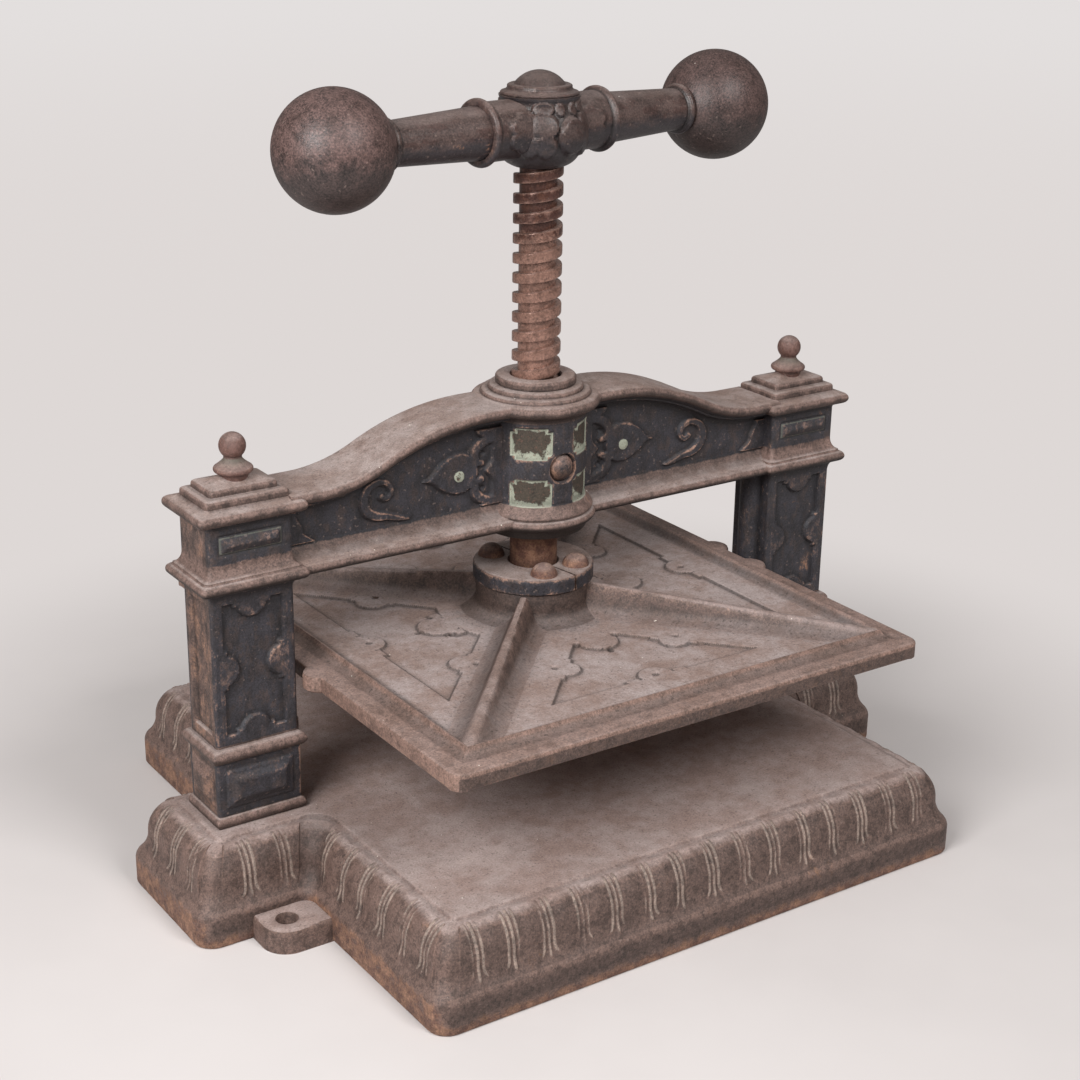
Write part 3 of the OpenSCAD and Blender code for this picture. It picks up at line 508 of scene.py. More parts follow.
def cross_ring(inset, spacing=0.7, corner_steps=9):
    """Outline of the base this far inside the floor line: points, outward normals, place along each side,
    and the distance to that side's nearer end."""
    corners = np.array(cross_corners(inset))
    floor = np.array(cross_corners(0))
    total = len(corners)
    sides = np.roll(corners, -1, axis=0) - corners
    sides = sides / np.linalg.norm(sides, axis=1)[:, None]
    outs = np.column_stack([sides[:, 1], -sides[:, 0]])
    signs = [1 if np.cross(sides[k - 1], sides[k]) > 0 else -1 for k in range(total)]
    convex_r = CONVEX_R - 0.4 * min(inset, SKIRT_RUN)
    concave_r = CONCAVE_R + 0.35 * inset
    radius = [convex_r if sign > 0 else concave_r for sign in signs]
    rows = []
    for k in range(total):
        after = (k + 1) % total
        along, out = sides[k], outs[k]
        centre = corners[k] - sides[k - 1] * radius[k] - signs[k] * outs[k - 1] * radius[k]
        for t in np.linspace(0, math.pi / 2, corner_steps):
            normal = outs[k - 1] * math.cos(t) + out * math.sin(t)
            rows.append((*(centre + signs[k] * radius[k] * normal), *normal, 0, -1))
        start = corners[k] + along * radius[k]
        end = corners[after] - along * radius[after]
        count = int(np.linalg.norm(floor[after] - floor[k]) / spacing)
        middle = np.dot((floor[k] + floor[after]) / 2, along)
        for point in np.linspace(start, end, count + 2)[1:-1]:
            to_end = min(np.dot(point - corners[k], along), np.dot(corners[after] - point, along))
            rows.append((*point, *out, np.dot(point, along) - middle, to_end))
    rows = np.array(rows)
    return rows[:, :2], rows[:, 2:4], rows[:, 4], rows[:, 5]


def gadroons(place, up, top):
    """Relief of broad tongues with rounded feet, and thin raised lines round and between them, at a height
    up the curve of the skirt. Returns the relief and how worn the lines are."""
    def line(distance):
        return smooth(LINE_HALF, 0.2 * LINE_HALF, distance)

    number = np.round(place / REED_PITCH)
    from_line = np.abs(place / REED_PITCH - number) * REED_PITCH
    from_tongue = REED_PITCH / 2 - from_line
    foot = 3 + TONGUE_HALF
    outline = np.hypot(from_tongue, np.minimum(up - foot, 0)) - TONGUE_HALF
    tongue = TONGUE_RISE * np.sqrt(np.clip(-outline / TONGUE_HALF, 0, 1))
    fade = smooth(0.2, 2.5, up) * smooth(top, top - 3, up)
    phase = np.where(place > number * REED_PITCH, 0, 1.9)
    uneven = 0.72 + 0.28 * np.sin(2.4 * number + 0.05 * up + phase)
    round_tongue = line(np.abs(outline - 0.3)) * uneven * smooth(-4, 4, up - foot + 6)
    between = line(from_line) * (0.75 + 0.25 * np.sin(5.1 * number))
    lines = np.maximum(round_tongue, between * smooth(1, 6, up))
    return np.maximum(tongue, 0.9 * lines) * fade, lines * fade


def skirt_profile():
    """(inset, height, place up the ornamented curve or None where plain), from the inner roof to the bed."""
    rows = [(29, 44), (27, 44), (25, 41), (22, 2), (20, 0), (1.4, 0), (0.5, 0.5), (0, 1.6), (0, 10)]
    turn = 2 * math.atan(WAIST_IN / (WAIST_H - FOOT_H))
    hollow_r = (WAIST_H - FOOT_H) / math.sin(turn) - SHOULDER_R
    run, lift = SKIRT_RUN - WAIST_IN, BASE_H - BED_EDGE - WAIST_H - BULGE_R
    flank_r = (run ** 2 + lift ** 2 - BULGE_R ** 2) / (2 * (run - BULGE_R))
    flank_turn = math.degrees(math.atan2(lift, flank_r - run))
    turn = math.degrees(turn)
    rows += arc(SHOULDER_R, FOOT_H, -SHOULDER_R, SHOULDER_R, 0, turn, 7)[:-1]
    curve = arc(WAIST_IN - hollow_r, WAIST_H, hollow_r, -hollow_r, turn, 0, 14)[:-1]
    curve += arc(WAIST_IN + flank_r, WAIST_H, -flank_r, flank_r, 0, flank_turn, 16)[:-1]
    curve += arc(SKIRT_RUN, BASE_H - BED_EDGE - BULGE_R, -BULGE_R, BULGE_R, flank_turn, 88, 12)
    up = np.concatenate([[0], np.cumsum(np.hypot(*np.diff(np.array(curve), axis=0).T))])
    edge = [(0.8, 1.7), (1.5, 1.4), (2.2, 0.9), (2.9, 0.4), (3.6, 0.1), (4.5, 0), (7, 0)]
    plain = [(SKIRT_RUN + x, BASE_H - down, None) for x, down in edge]
    return [(x, z, None) for x, z in rows] + [(x, z, u) for (x, z), u in zip(curve, up)] + plain


def base_shell():
    rows = skirt_profile()
    shape = np.array([(x, z) for x, z, _ in rows])
    slope = np.gradient(shape, axis=0)
    slope /= np.linalg.norm(slope, axis=1)[:, None]
    top = max(up for _, _, up in rows if up is not None)
    rings, worn, rusted, sooty = [], [], [], []
    for (inset, z, up), tangent in zip(rows, slope):
        points, normals, place, ends = cross_ring(inset)
        lift, lines = np.zeros(len(points)), np.zeros(len(points))
        if up is not None:
            from_corner = smooth(2.0, 6.0, ends)
            lift, lines = (part * from_corner for part in gadroons(place, up, top))
        flat = points + normals * (lift * tangent[1])[:, None]
        rings.append(np.column_stack([flat, z + lift * tangent[0]]))
        worn.append(lines)
        on_end = smooth(0.3, 0.9, np.abs(normals[:, 0]))
        rusted.append(0.95 * np.maximum(smooth(13, 3, z), 0.8 * on_end * smooth(26, 16, z)))
        # Painted shade on the front and back faces: a band near the foot, and most of the curve but its
        # lines.
        foot = 0.6 * smooth(24, 16, z) * smooth(1, 5, z) * (up is None or up < 9)
        curve = 0.42 * (1 - lines) * (up is not None and up < top - 9)
        sooty.append((1 - on_end) * np.maximum(foot, curve))
    shell = Shell().add(*loft(rings), {"bare": worn, "rusted": rusted, "sooty": sooty})
    for sx, sy in CORNERS:
        shell.add(*lug(sx, sy))
    return shell


def lug(sx, sy):
    """A round-ended hold-down lug with its bolt hole, in the corner between bed and wing."""
    cx, cy, r, hole, top = BED_W / 2 + 22.5, WING_D / 2 + 12.5, 17, 6.5, 16
    to_bed, to_wing = 26, 16
    angle = round_angles(96)
    c, s = np.cos(angle), np.sin(angle)
    walls = ((r, c), (r, s), (to_bed, -c), (to_wing, -s))
    reach = np.minimum.reduce([far / np.maximum(heading, 1e-9) for far, heading in walls])
    outer = np.where((c > 0) & (s > 0), r, reach)
    rows = [(outer, 0), (outer, 1.0), (outer, top - 3.0), (outer - 0.8, top - 1.0), (outer - 2.6, top),
            (hole + 2.2, top), (hole + 0.7, top - 0.7), (hole, top - 2.2), (hole, 0)]
    rings = [(ring(angle, radius, z) + [cx, cy, 0]) * [sx, sy, 1] for radius, z in rows]
    return loft(rings, looped=True)


# Columns and capitals: a rectangle lofted upwards, with relief on its faces

def rectangle(half_w, half_d, spacing):
    """A rectangle walked anticlockwise: each point's outward normal, direction and place along its side."""
    outs, places = [], []
    for turn in range(4):
        out = (round(math.sin(turn * math.pi / 2)), -round(math.cos(turn * math.pi / 2)))
        count = max(8, int(2 * (half_d if out[0] else half_w) / spacing))
        outs += [out] * count
        places += list(np.linspace(-1, 1, count))
    out = np.array(outs, float)
    return out, np.column_stack([-out[:, 1], out[:, 0]]), np.array(places)


def block(half_w, half_d, stations, relief, spacing=1.0, corner=1.2):
    """A closed block through stations (outset, height). relief(out, u, z, outset) gives its faces' relief
    and tints, by their outward normals, place and height."""
    out, along, t = rectangle(half_w, half_d, spacing)
    front_back = out[:, 0] == 0
    rings, tints = [], {}
    for outset, z in stations:
        across = np.where(front_back, half_w, half_d) + outset
        deep = np.where(front_back, half_d, half_w) + outset
        u = t * (across - 0.3 * corner)
        near_corner = np.clip((np.abs(u) - (across - corner)) / corner, 0, 1)
        rounding = corner * (1 - np.sqrt(1 - near_corner ** 2))
        lift, tint = relief(out, u, z, outset)
        flat = out * (deep + lift - rounding)[:, None] + along * u[:, None]
        rings.append(np.column_stack([flat, np.full(len(u), z)]))
        for name, values in tint.items():
            tints.setdefault(name, []).append(np.broadcast_to(values, len(u)))
    return *loft(rings), tints


def panel_distance(u, v, half_w, half_h, bite, ear=2.6):
    """Signed distance inside a sunk panel, its four sides bitten by round lobes with small square ears."""
    inside = np.maximum(np.abs(u) - half_w, np.abs(v) - half_h)
    for cu, cv in ((half_w, 0), (-half_w, 0), (0, half_h), (0, -half_h)):
        lobe = bite - np.hypot(u - cu, v - cv)
        wide, high = (0, bite) if cu else (bite, 0)
        ears = ear - np.maximum(np.abs(u - cu) - wide, np.abs(v - cv) - high)
        inside = np.maximum(inside, np.maximum(lobe, ears))
    return inside


def stepped(rows, spacing):
    """Stations between given (outset, height) corners, no further apart than spacing."""
    result = [rows[0]]
    for a, b in zip(rows, rows[1:]):
        count = max(1, math.ceil(math.dist(a, b) / spacing))
        result += list(np.linspace(a, b, count + 1)[1:])
    return result


PLINTH_TOP = BASE_H + 53.6
SHAFT_MID = (PLINTH_TOP + BEAM_Z) / 2 - 1
GUIDE_R, GUIDE_OUT = 9, 8.4


def column_shell(side):
    roll = arc(0, BASE_H + 3.75, 2.5, 3.75, -90, 80, 13)
    cushion = arc(-0.6, PLINTH_TOP - 4.7, 4.5, 4.7, -78, 88, 14)
    neck = arc(2.4, BEAM_Z - 8, -3.4, 7, 0, 90, 7)
    rows = [(-8, BASE_H), (-4, BASE_H)] + roll + [(0, BASE_H + 7.6)] + cushion + [(-1, PLINTH_TOP + 0.4)]
    stations = stepped(rows + neck + [(2.4, BEAM_Z), (-4, BEAM_Z)], 1.0)
    plinth_mid = (BASE_H + PLINTH_TOP) / 2 - 0.9

    def relief(out, u, z, outset):
        front_back = out[:, 0] == 0
        inner = out[:, 0] == -side
        half = np.where(front_back, COL_W / 2, COL_D / 2)
        field = np.where(front_back, panel_distance(u, z - SHAFT_MID, 20, 43, 10.2),
                         np.maximum(np.abs(u) - 12, np.abs(z - SHAFT_MID) - 43))
        sunk = raised(field, -2.4, 0.6)
        rim = np.maximum(np.abs(u) - (half - 6), np.abs(z - plinth_mid) - 12.5)
        plinth = raised(rim, 1.2, 0.6) + 2.6 * np.clip((-2 - rim) / 4.5, 0, 1)
        guide = np.sqrt(np.maximum(GUIDE_R ** 2 - u ** 2, 0)) - (GUIDE_R - GUIDE_OUT)
        rib = np.where(np.abs(u) < GUIDE_R, np.maximum(guide, 0), 0) - max(outset, 0)
        on_cushion = smooth(-10, -8, z - PLINTH_TOP) * smooth(2.5, 0.5, z - PLINTH_TOP)
        moulded = smooth(BASE_H + 9, BASE_H + 7, z) + on_cushion
        flank = np.where(out[:, 0] == side, smooth(half, half - 6, np.abs(u)), 0.3 * inner)
        on_panel = front_back * (np.abs(u) < 24) * (np.abs(z - SHAFT_MID) < 44)
        lobe = on_panel * smooth(0.5, 2, field) * smooth(11, 7, field)
        tints = {"bare": np.maximum(moulded, 0.08 + 0.7 * flank + 0.34 * lobe),
                 "rusted": 0.42 * flank * (1 - np.minimum(moulded, 1))}
        return np.where(inner, rib, sunk + plinth), tints

    points, quads, caps, tints = block(COL_W / 2, COL_D / 2, stations, relief)
    return Shell().add(points + [side * COL_X, 0, 0], quads, caps, tints)


def capital(side):
    """Capital on one column: fat cornices, a dado with a hipped label bar, and a softly stepped cap."""
    low_nose = arc(4.6, 3.6, 3.4, 3.6, -90, 80, 10)
    low_hollow = [(5.0, 7.4), (4.5, 8.0)] + arc(5.2, 17.2, 5.2, 8.8, 262, 185, 9)
    high_hollow = arc(5.0, 39.5, 5.0, 4.0, 180, 100, 7)
    high_nose = arc(4.6, 47.0, 3.4, 3.7, -85, 85, 10)
    lower_step = [(3.2, 50.9), (0.6, 51.8), (-0.3, 52.5), (-0.4, 54.8)]
    lower_step += arc(-2.6, 55.2, 2.2, 2.0, 0, 85, 6)
    upper_step = [(-4.6, 57.4), (-5.5, 57.9), (-5.6, 59.6)] + arc(-8.0, 60.0, 2.4, 2.3, 0, 80, 6)
    dome_top = [(-10, 62.7), (-13, 63.6), (-16, 65.0), (-18, 65.8)]
    rows = ([(-8, 0), (4, 0)] + low_nose + low_hollow + [(0, 18.2), (0, 39.2)] + high_hollow + high_nose
            + lower_step + upper_step + dome_top)
    stations = stepped([(x, BEAM_Z + z) for x, z in rows], 1.1)

    def relief(out, u, z, outset):
        front_back = out[:, 0] == 0
        bar = np.maximum(np.abs(u) - 20, np.abs(z - BEAM_Z - 29) - 4.9)
        groove = raised(np.abs(bar - 0.9) - 0.5, -0.7, 0.5)
        lift = np.where(front_back, raised(bar, 0.5, 0.4) + 2.0 * np.clip(-bar / 4.4, 0, 1) + groove, 0)
        moulded = np.maximum(smooth(22, 12, z - BEAM_Z), smooth(40, 46, z - BEAM_Z))
        flank = np.where(out[:, 0] == side, smooth(COL_D / 2, COL_D / 2 - 5, np.abs(u)), 0)
        label = np.where(front_back, smooth(0.2, -0.5, bar), 0)
        gilt_edge = np.where(front_back, 0.06 * smooth(1.2, 0.2, np.abs(bar)), 0)
        # The underside of the lower cornice gets painted shade.
        return lift, {"gilt": gilt_edge, "bare": np.maximum(moulded, 0.75 * flank + 0.42 * label),
                      "rusted": 0.35 * flank * (1 - moulded), "sooty": 0.75 * smooth(4.2, 1.5, z - BEAM_Z)}

    points, quads, caps, tints = block((COL_W - 1) / 2, COL_D / 2, stations, relief, corner=2.4)
    return points + [side * COL_X, 0, 0], quads, caps, tints


# Crosshead beam with its relief, and the boss

CREST_X, SHOULDER_X, HOLLOW_R = 45, 172, 103.6
BEAM_END, WEB_HALF, WEB_FOOT, WEB_MID = COL_X - 26, 8, 16.4, 257.2


def beam_top(x):
    """Height of the beam's top: a flat crest, a convex and a hollow arc, and flat shoulders."""
    drop = CREST_H - SHOULDER_H
    angle = 2 * math.atan(drop / (SHOULDER_X - CREST_X))
    total = (SHOULDER_X - CREST_X) / math.sin(angle)
    crest_r = total - HOLLOW_R
    turn_x = CREST_X + crest_r * math.sin(angle)
    x = np.abs(x)
    convex = CREST_H - crest_r + np.sqrt(np.maximum(crest_r ** 2 - (x - CREST_X) ** 2, 0))
    hollow = SHOULDER_H + HOLLOW_R - np.sqrt(np.maximum(HOLLOW_R ** 2 - (SHOULDER_X - x) ** 2, 0))
    arches = [x < CREST_X, x < turn_x, x < SHOULDER_X]
    return BEAM_Z + np.select(arches, [CREST_H, convex, hollow], SHOULDER_H)


def web_relief(x, z):
    """Relief on the web beside the boss: bracket, drop with a stud, hooked scroll, bracket at the capital.
    Returns its height and the gilding of the stud."""
    x = np.abs(x)
    hook = stroke(x, z, [(102.4, 235.6, 0.8), (108.9, 236.9, 1.8), (117.6, 239.6, 2.4), (125.4, 241, 3.0),
                         (132.0, 245.4, 3.4), (134.2, 253.0, 3.2), (130.8, 260.2, 2.7), (123.4, 263.2, 2.3),
                         (116.6, 260.6, 2.0), (114.6, 255.0, 1.9), (118.0, 251.6, 1.9), (121.6, 253.2, 2.1)])
    drop = stroke(x, z, [(90.6, 257, 0.3), (86, 257.2, 1.6), (80, 257.6, 5.0), (74, 258, 9.4),
                         (68, 258.2, 12.6), (64, 258.2, 13.6)])
    from_mid = np.abs(z - WEB_MID)
    curl = stroke(x, from_mid, [(38, 20.4, 2.4), (44, 20, 3.0), (50, 17, 3.4), (53, 11.6, 3.2),
                                (51.4, 7, 2.6), (47.6, 5.4, 2.2)])
    bracket_x = 39.6 + 5 * np.exp(-(from_mid / 4) ** 2) + 12 * smooth(17, 27, from_mid)
    shoulder_x = 181.4 - 4 * smooth(252, 243, z) - 11 * smooth(242, 230, z)
    figures = np.minimum.reduce([hook, drop, curl, x - bracket_x, shoulder_x - x])
    stud = np.hypot(x - 65, z - 256.8) - 3.3
    pit = np.hypot(x - 46.2, from_mid - 11.8) - 1.5
    height = raised(figures, 2.2, 0.7) + raised(stud, 0.9, 0.8) - raised(pit, 1.6, 0.7)
    return height, 0.5 * smooth(0.5, -0.8, stud)


def beam():
    """The arched beam, lofted from end to end, with mouldings below and a rounded nosing on top."""
    xs = np.linspace(-BEAM_END, BEAM_END, 392)
    foot = [(20.4, 0)] + arc(21.0, 3.3, 3.3, 3.3, -90, 85, 10) + [(20.2, 6.9), (19.6, 7.5)]
    foot += arc(20, 16.5, 11.9, 8.9, 263, 184, 12)
    crown = arc(17, -15.6, 8.9, 5, 180, 95, 8) + [(16.4, -9.6), (18.4, -8.4)]
    crown += arc(20.9, -3.7, 3.4, 3.6, -80, 78, 10) + [(19.5, -0.05)]
    foot_bare = np.interp(np.arange(len(foot)), [0, len(foot) - 5, len(foot) - 1], [1, 1, 0.2])
    crown_bare = np.interp(np.arange(len(crown)), [0, 9, 12, len(crown)], [0, 0.1, 1, 1])
    # Painted shade under the foot moulding.
    foot_shade = 0.8 * smooth(3.4, 1.2, [h for _, h in foot])
    deck = np.linspace(15, -15, 5)
    rings, gilt = [], []
    samples = 56
    for x, top in zip(xs, beam_top(xs)):
        z = np.linspace(BEAM_Z + WEB_FOOT, top - 16, samples)
        lift, stud = web_relief(np.full(samples, x), z)
        side = [(out, BEAM_Z + h) for out, h in foot] + list(zip(WEB_HALF + lift, z))
        side = np.array(side + [(out, top + h) for out, h in crown])
        outline = np.vstack([side, [(out, top + 0.15) for out in deck], side[::-1] * [-1, 1]])
        rings.append(np.insert(outline, 0, x, axis=1))
        stud = np.concatenate([np.zeros(len(foot)), stud, np.zeros(len(crown))])
        gilt.append(np.concatenate([stud, np.zeros(len(deck)), stud[::-1]]))
    bare = np.concatenate([foot_bare, np.zeros(samples), crown_bare])
    bare = np.concatenate([bare, np.ones(len(deck)), bare[::-1]])
    sooty = np.concatenate([foot_shade, np.zeros(len(bare) - 2 * len(foot)), foot_shade[::-1]])
    return *loft(rings), {"gilt": gilt, "bare": [bare] * len(xs), "sooty": [sooty] * len(xs)}


BOSS_R, BOSS_MID = 34, BEAM_Z + 40
PATCH_TURN, PATCH_HALF = math.radians(38), math.radians(24)
PATCH_SUNK, RECESS_SUNK, RECESS_R = 1.4, 5.4, 9.6


def patch_distance(angle, z):
    """Signed distance to the eight sunk patches round the boss, stepped at the corners."""
    best = np.full(np.shape(angle), 99.0)
    for turn in (-math.pi / 2, math.pi / 2):
        off = np.abs((angle - turn + math.pi) % (2 * math.pi) - math.pi)
        u = (off - PATCH_TURN) * BOSS_R
        v = np.abs(z - BOSS_MID)
        plate = np.maximum(np.abs(u) - PATCH_HALF * BOSS_R, np.abs(v - 17.4) - 10.6)
        notch = np.maximum(PATCH_HALF * BOSS_R - 3.4 - np.abs(u), 8.0 - np.abs(v - 17.4))
        bite = 13 - np.hypot(off * BOSS_R, v)
        best = np.minimum(best, np.maximum(np.maximum(plate, -notch), bite))
    return best


def boss():
    """The round boss, turned, with sunk patches and a recess round each set screw."""
    low = [(17, -7), (30, -7), (33.5, -7)] + arc(34, -4, 1.2, 3, -90, 0, 3)
    low += arc(37.4, 2.7, 3.6, 3.3, -80, 84, 10) + [(38.2, 6.3), (38.1, 6.8)]
    low += [(38.9, 7.4), (38.9, 8.4), (37.6, 10.2), (35.8, 12.4), (34.6, 14.6)]
    shaft = [(BOSS_R, height) for height in np.arange(16, 70.5, 0.8)]
    high = arc(39.5, 71.5, 5.5, 4.6, 180, 100, 7) + arc(38.9, 79.9, 3.6, 3.8, -80, 86, 11)
    high += [(37.2, 84.0), (36.5, 84.2)] + arc(34.2, 84.8, 2.1, 1.9, 0, 85, 6)
    high += [(32.2, 86.9), (31.4, 87.1)] + arc(29.2, 88.0, 2.0, 2.0, 0, 80, 6) + [(27.4, 90.4), (17, 90.8)]
    profile = [(radius, BEAM_Z + height) for radius, height in low + shaft + high]
    sides = 320
    angle = round_angles(sides)
    from_front = np.arccos(np.abs(np.sin(angle)))
    rings, gilt, bare = [], [], []
    for row, (radius, z) in enumerate(profile):
        on_shaft = len(low) <= row < len(low) + len(shaft)
        distance = patch_distance(angle, np.full(sides, z)) if on_shaft else np.full(sides, 99.0)
        recess = np.hypot(from_front * BOSS_R, z - BOSS_MID) - RECESS_R
        sunk = raised(distance, PATCH_SUNK, 0.6) + raised(recess, RECESS_SUNK, 0.6)
        rings.append(ring(angle, radius - sunk, z))
        crust = np.interp(z - BOSS_MID, [-28, -14, -8, 6, 20], [20, 4, 4, 20, 4])
        gilt.append(np.clip(-distance / crust, 0, 1) + np.where(distance < 0, 0.13, 0))
        bare.append(np.full(sides, 0.0 if on_shaft else 1.0))
    # Painted shade under the boss's low moulding.
    sooty = np.repeat(0.8 * smooth(3.4, 1, [z - BEAM_Z for _, z in profile]), sides)
    return *loft(rings), {"gilt": gilt, "bare": bare, "sooty": sooty}


def crosshead_shell():
    shell = Shell().add(*beam()).add(*boss())
    for side in (-1, 1):
        shell.add(*capital(side))
    return shell


# Platen: a height map with lip, moulded rim and sunk plates, diagonal ribs, the boss and four fork knuckles

LIP_Z = PLATEN_Z + LIP_T
LIP_BAND, RIM_COVE, RIM_CREST, RIM_SLOPE = 12, 7, 1.6, 5.5
CREST_IN = LIP_BAND + RIM_COVE + RIM_CREST / 2
PLATEN_BOSS_R, PLATEN_BOSS_Z = 38.5, 173
PLATE_FROM_EDGE, PLATE_FROM_BOSS, PLATE_SUNK = 49.3, 66, 1.6
LIP_CORNER_R = 9


def from_edge(x, y):
    """Distance inside the platen's outline."""
    return np.minimum(PLATEN_W / 2 - np.abs(x), PLATEN_D / 2 - np.abs(y))


def rim_height(edge):
    """Height of the rim above the lip: a hollow side, a crest, and a slope."""
    cove = np.clip(edge - LIP_BAND, 0, RIM_COVE)
    bend = (RIM_COVE ** 2 + RIM_H ** 2) / (2 * RIM_H)
    slope_start = LIP_BAND + RIM_COVE + RIM_CREST
    slope = RIM_H * smooth(slope_start + RIM_SLOPE, slope_start - 1, edge)
    return np.minimum(bend - np.sqrt(bend ** 2 - cove ** 2), slope)


def in_box(u, v, half_u, half_v):
    """Signed distance from a box about the origin."""
    return np.maximum(np.abs(u) - half_u, np.abs(v) - half_v)


def plate_height(x, y):
    """Depth of the four sunk plates with their lobes, square ears and pits, and the painted shade in them.
    """
    half_w, half_d = PLATEN_W / 2, PLATEN_D / 2
    reach = math.hypot(half_w - CREST_IN, half_d - CREST_IN)
    cx, cy = (half_w - CREST_IN) / reach, (half_d - CREST_IN) / reach
    along = np.abs(x) * cx + np.abs(y) * cy
    across = np.abs(np.abs(x) * cy - np.abs(y) * cx)
    sideways = np.abs(x) * half_d > np.abs(y) * half_w
    inward = np.where(sideways, half_w - np.abs(x), half_d - np.abs(y)) - PLATE_FROM_EDGE
    from_middle = np.where(sideways, np.abs(x), np.abs(y))
    from_axis = np.where(sideways, np.abs(y), np.abs(x))
    ribward = across - np.where(sideways, 25, 37.5)
    lobe_along = along - np.where(sideways, 106, 103)
    lobe_r = np.where(sideways, 11.5, 10)
    borders = [-inward, -ribward, PLATE_FROM_BOSS - np.hypot(x, y)]
    lobes = [12.5 - np.hypot(from_axis, inward), lobe_r - np.hypot(lobe_along, ribward),
             14 - np.hypot(from_axis, from_middle - 75)]
    ears = [in_box(from_axis - 18, inward, 5, 3), in_box(np.abs(lobe_along) - 12.5, ribward, 3, 2.2),
            in_box(from_axis - 15, from_middle - 68, 4, 4)]
    plate = np.maximum.reduce(borders + lobes + [-ear for ear in ears])
    pits = [np.hypot(from_axis, inward - 2) - 2.4, np.hypot(lobe_along, ribward + 6.5) - 2.4,
            np.hypot(from_axis, from_middle - 90.5) - 2.2, np.hypot(from_axis - 15, from_middle - 73) - 2.4]
    pit = np.minimum.reduce(pits)
    # Painted shade in the pits and along the plates' sunk edges.
    soot = np.maximum(0.8 * smooth(0.6, -0.4, pit), 0.8 * smooth(-3, -0.4, plate) * smooth(1, 0.2, plate))
    return raised(plate, PLATE_SUNK, 0.9) + raised(pit, 1.6, 0.8), soot


def platen_height(x, y):
    edge = from_edge(x, y)
    rounding = 2.0 * (1 - np.sqrt(1 - np.clip((2.4 - edge) / 2.4, 0, 1) ** 2))
    field = plate_height(x, y)[0] * smooth(30, 34, edge)
    return LIP_Z - rounding - 0.3 * smooth(11, 4, edge) + rim_height(edge) - field


def platen_rib(sx, sy):
    """A diagonal rib with a narrow crest, from inside the boss to its mitred end in the rim's corner."""
    half_w, half_d = PLATEN_W / 2 - CREST_IN, PLATEN_D / 2 - CREST_IN
    reach = math.hypot(half_w, half_d)
    cx, cy = half_w / reach, half_d / reach
    flank = [(17, -2), (17, 0), (13.5, 0.03), (10.5, 0.1), (8, 0.23), (6, 0.43), (4.4, 0.67), (3, 0.88),
             (1.8, 0.98), (0.6, 1)]
    across, share = np.array([(-a, f) for a, f in flank] + flank[::-1]).T
    end = reach - np.abs(across) * np.where(across > 0, cy / cx, cx / cy)
    rings = []
    for t in np.linspace(0, 1, 60):
        along = 30 + t * (end - 30)
        crest = np.interp(along, [30, reach], [PLATEN_BOSS_Z - 1 - LIP_Z, RIM_H - 0.3])
        z = LIP_Z + np.where(share < 0, share, share * crest)
        rings.append(np.column_stack([sx * (along * cx + across * cy), sy * (along * cy - across * cx), z]))
    # Painted shade along each flank's foot, where the rib meets the field.
    sooty = np.interp(share, [-2, 0, 0.1, 0.5, 0.9, 1], [0, 0.35, 0.5, 0.5, 0.1, 0])
    return *loft(rings), {"bare": 0.4, "sooty": np.tile(sooty, len(rings))}


def round_corners(x, y):
    """Places of the platen's grid drawn in, so that its outline has rounded corners."""
    dx = np.maximum(np.abs(x) - PLATEN_W / 2 + LIP_CORNER_R, 0)
    dy = np.maximum(np.abs(y) - PLATEN_D / 2 + LIP_CORNER_R, 0)
    pull = 1 - np.maximum(dx, dy) / np.maximum(np.hypot(dx, dy), 1e-9)
    pull = np.where((dx > 0) & (dy > 0), pull, 0)
    return x - np.sign(x) * dx * pull, y - np.sign(y) * dy * pull


def fine_line(half, spacing):
    """Places from -half to half, closer together over the lip and the rim."""
    inner = half - 28
    edge = [0, 0.25, 0.7, 1.3, 2.0, 2.6, 5, 8, 11, 12.5, 14, 15.2, 16.2, 17, 17.7, 18.3, 18.8, 19.2, 19.8,
            20.4, 21, 22, 23, 24, 25, 26, 27]
    count = int(2 * inner / spacing)
    near = [half - v for v in edge]
    return np.array([-v for v in near] + list(np.linspace(-inner, inner, count)) + near[::-1])


def platen_painted_shade(x, y):
    """Painted shade in the corners, round the boss, along the ribs, in the plates, and on both sides of the
    rim.
    """
    edge = from_edge(x, y)
    inside = 1 - smooth(CREST_IN + 4, CREST_IN, edge)
    corner = CREST_IN + 6
    to_corner = np.hypot(PLATEN_W / 2 - corner - np.abs(x), PLATEN_D / 2 - corner - np.abs(y))
    from_rib = np.abs(np.abs(x) * PLATEN_D - np.abs(y) * PLATEN_W) / math.hypot(PLATEN_W, PLATEN_D)
    outside = smooth(CREST_IN - 1, CREST_IN - 4, edge) * smooth(LIP_BAND - 2, LIP_BAND + 1, edge)
    return np.maximum.reduce([0.75 * smooth(28, 4, to_corner) * inside, plate_height(x, y)[1],
                              0.5 * smooth(70, 48, np.hypot(x, y)), 0.4 * smooth(30, 14, from_rib) * inside,
                              0.65 * smooth(CREST_IN + 12, CREST_IN + 5, edge) * inside, 0.5 * outside])


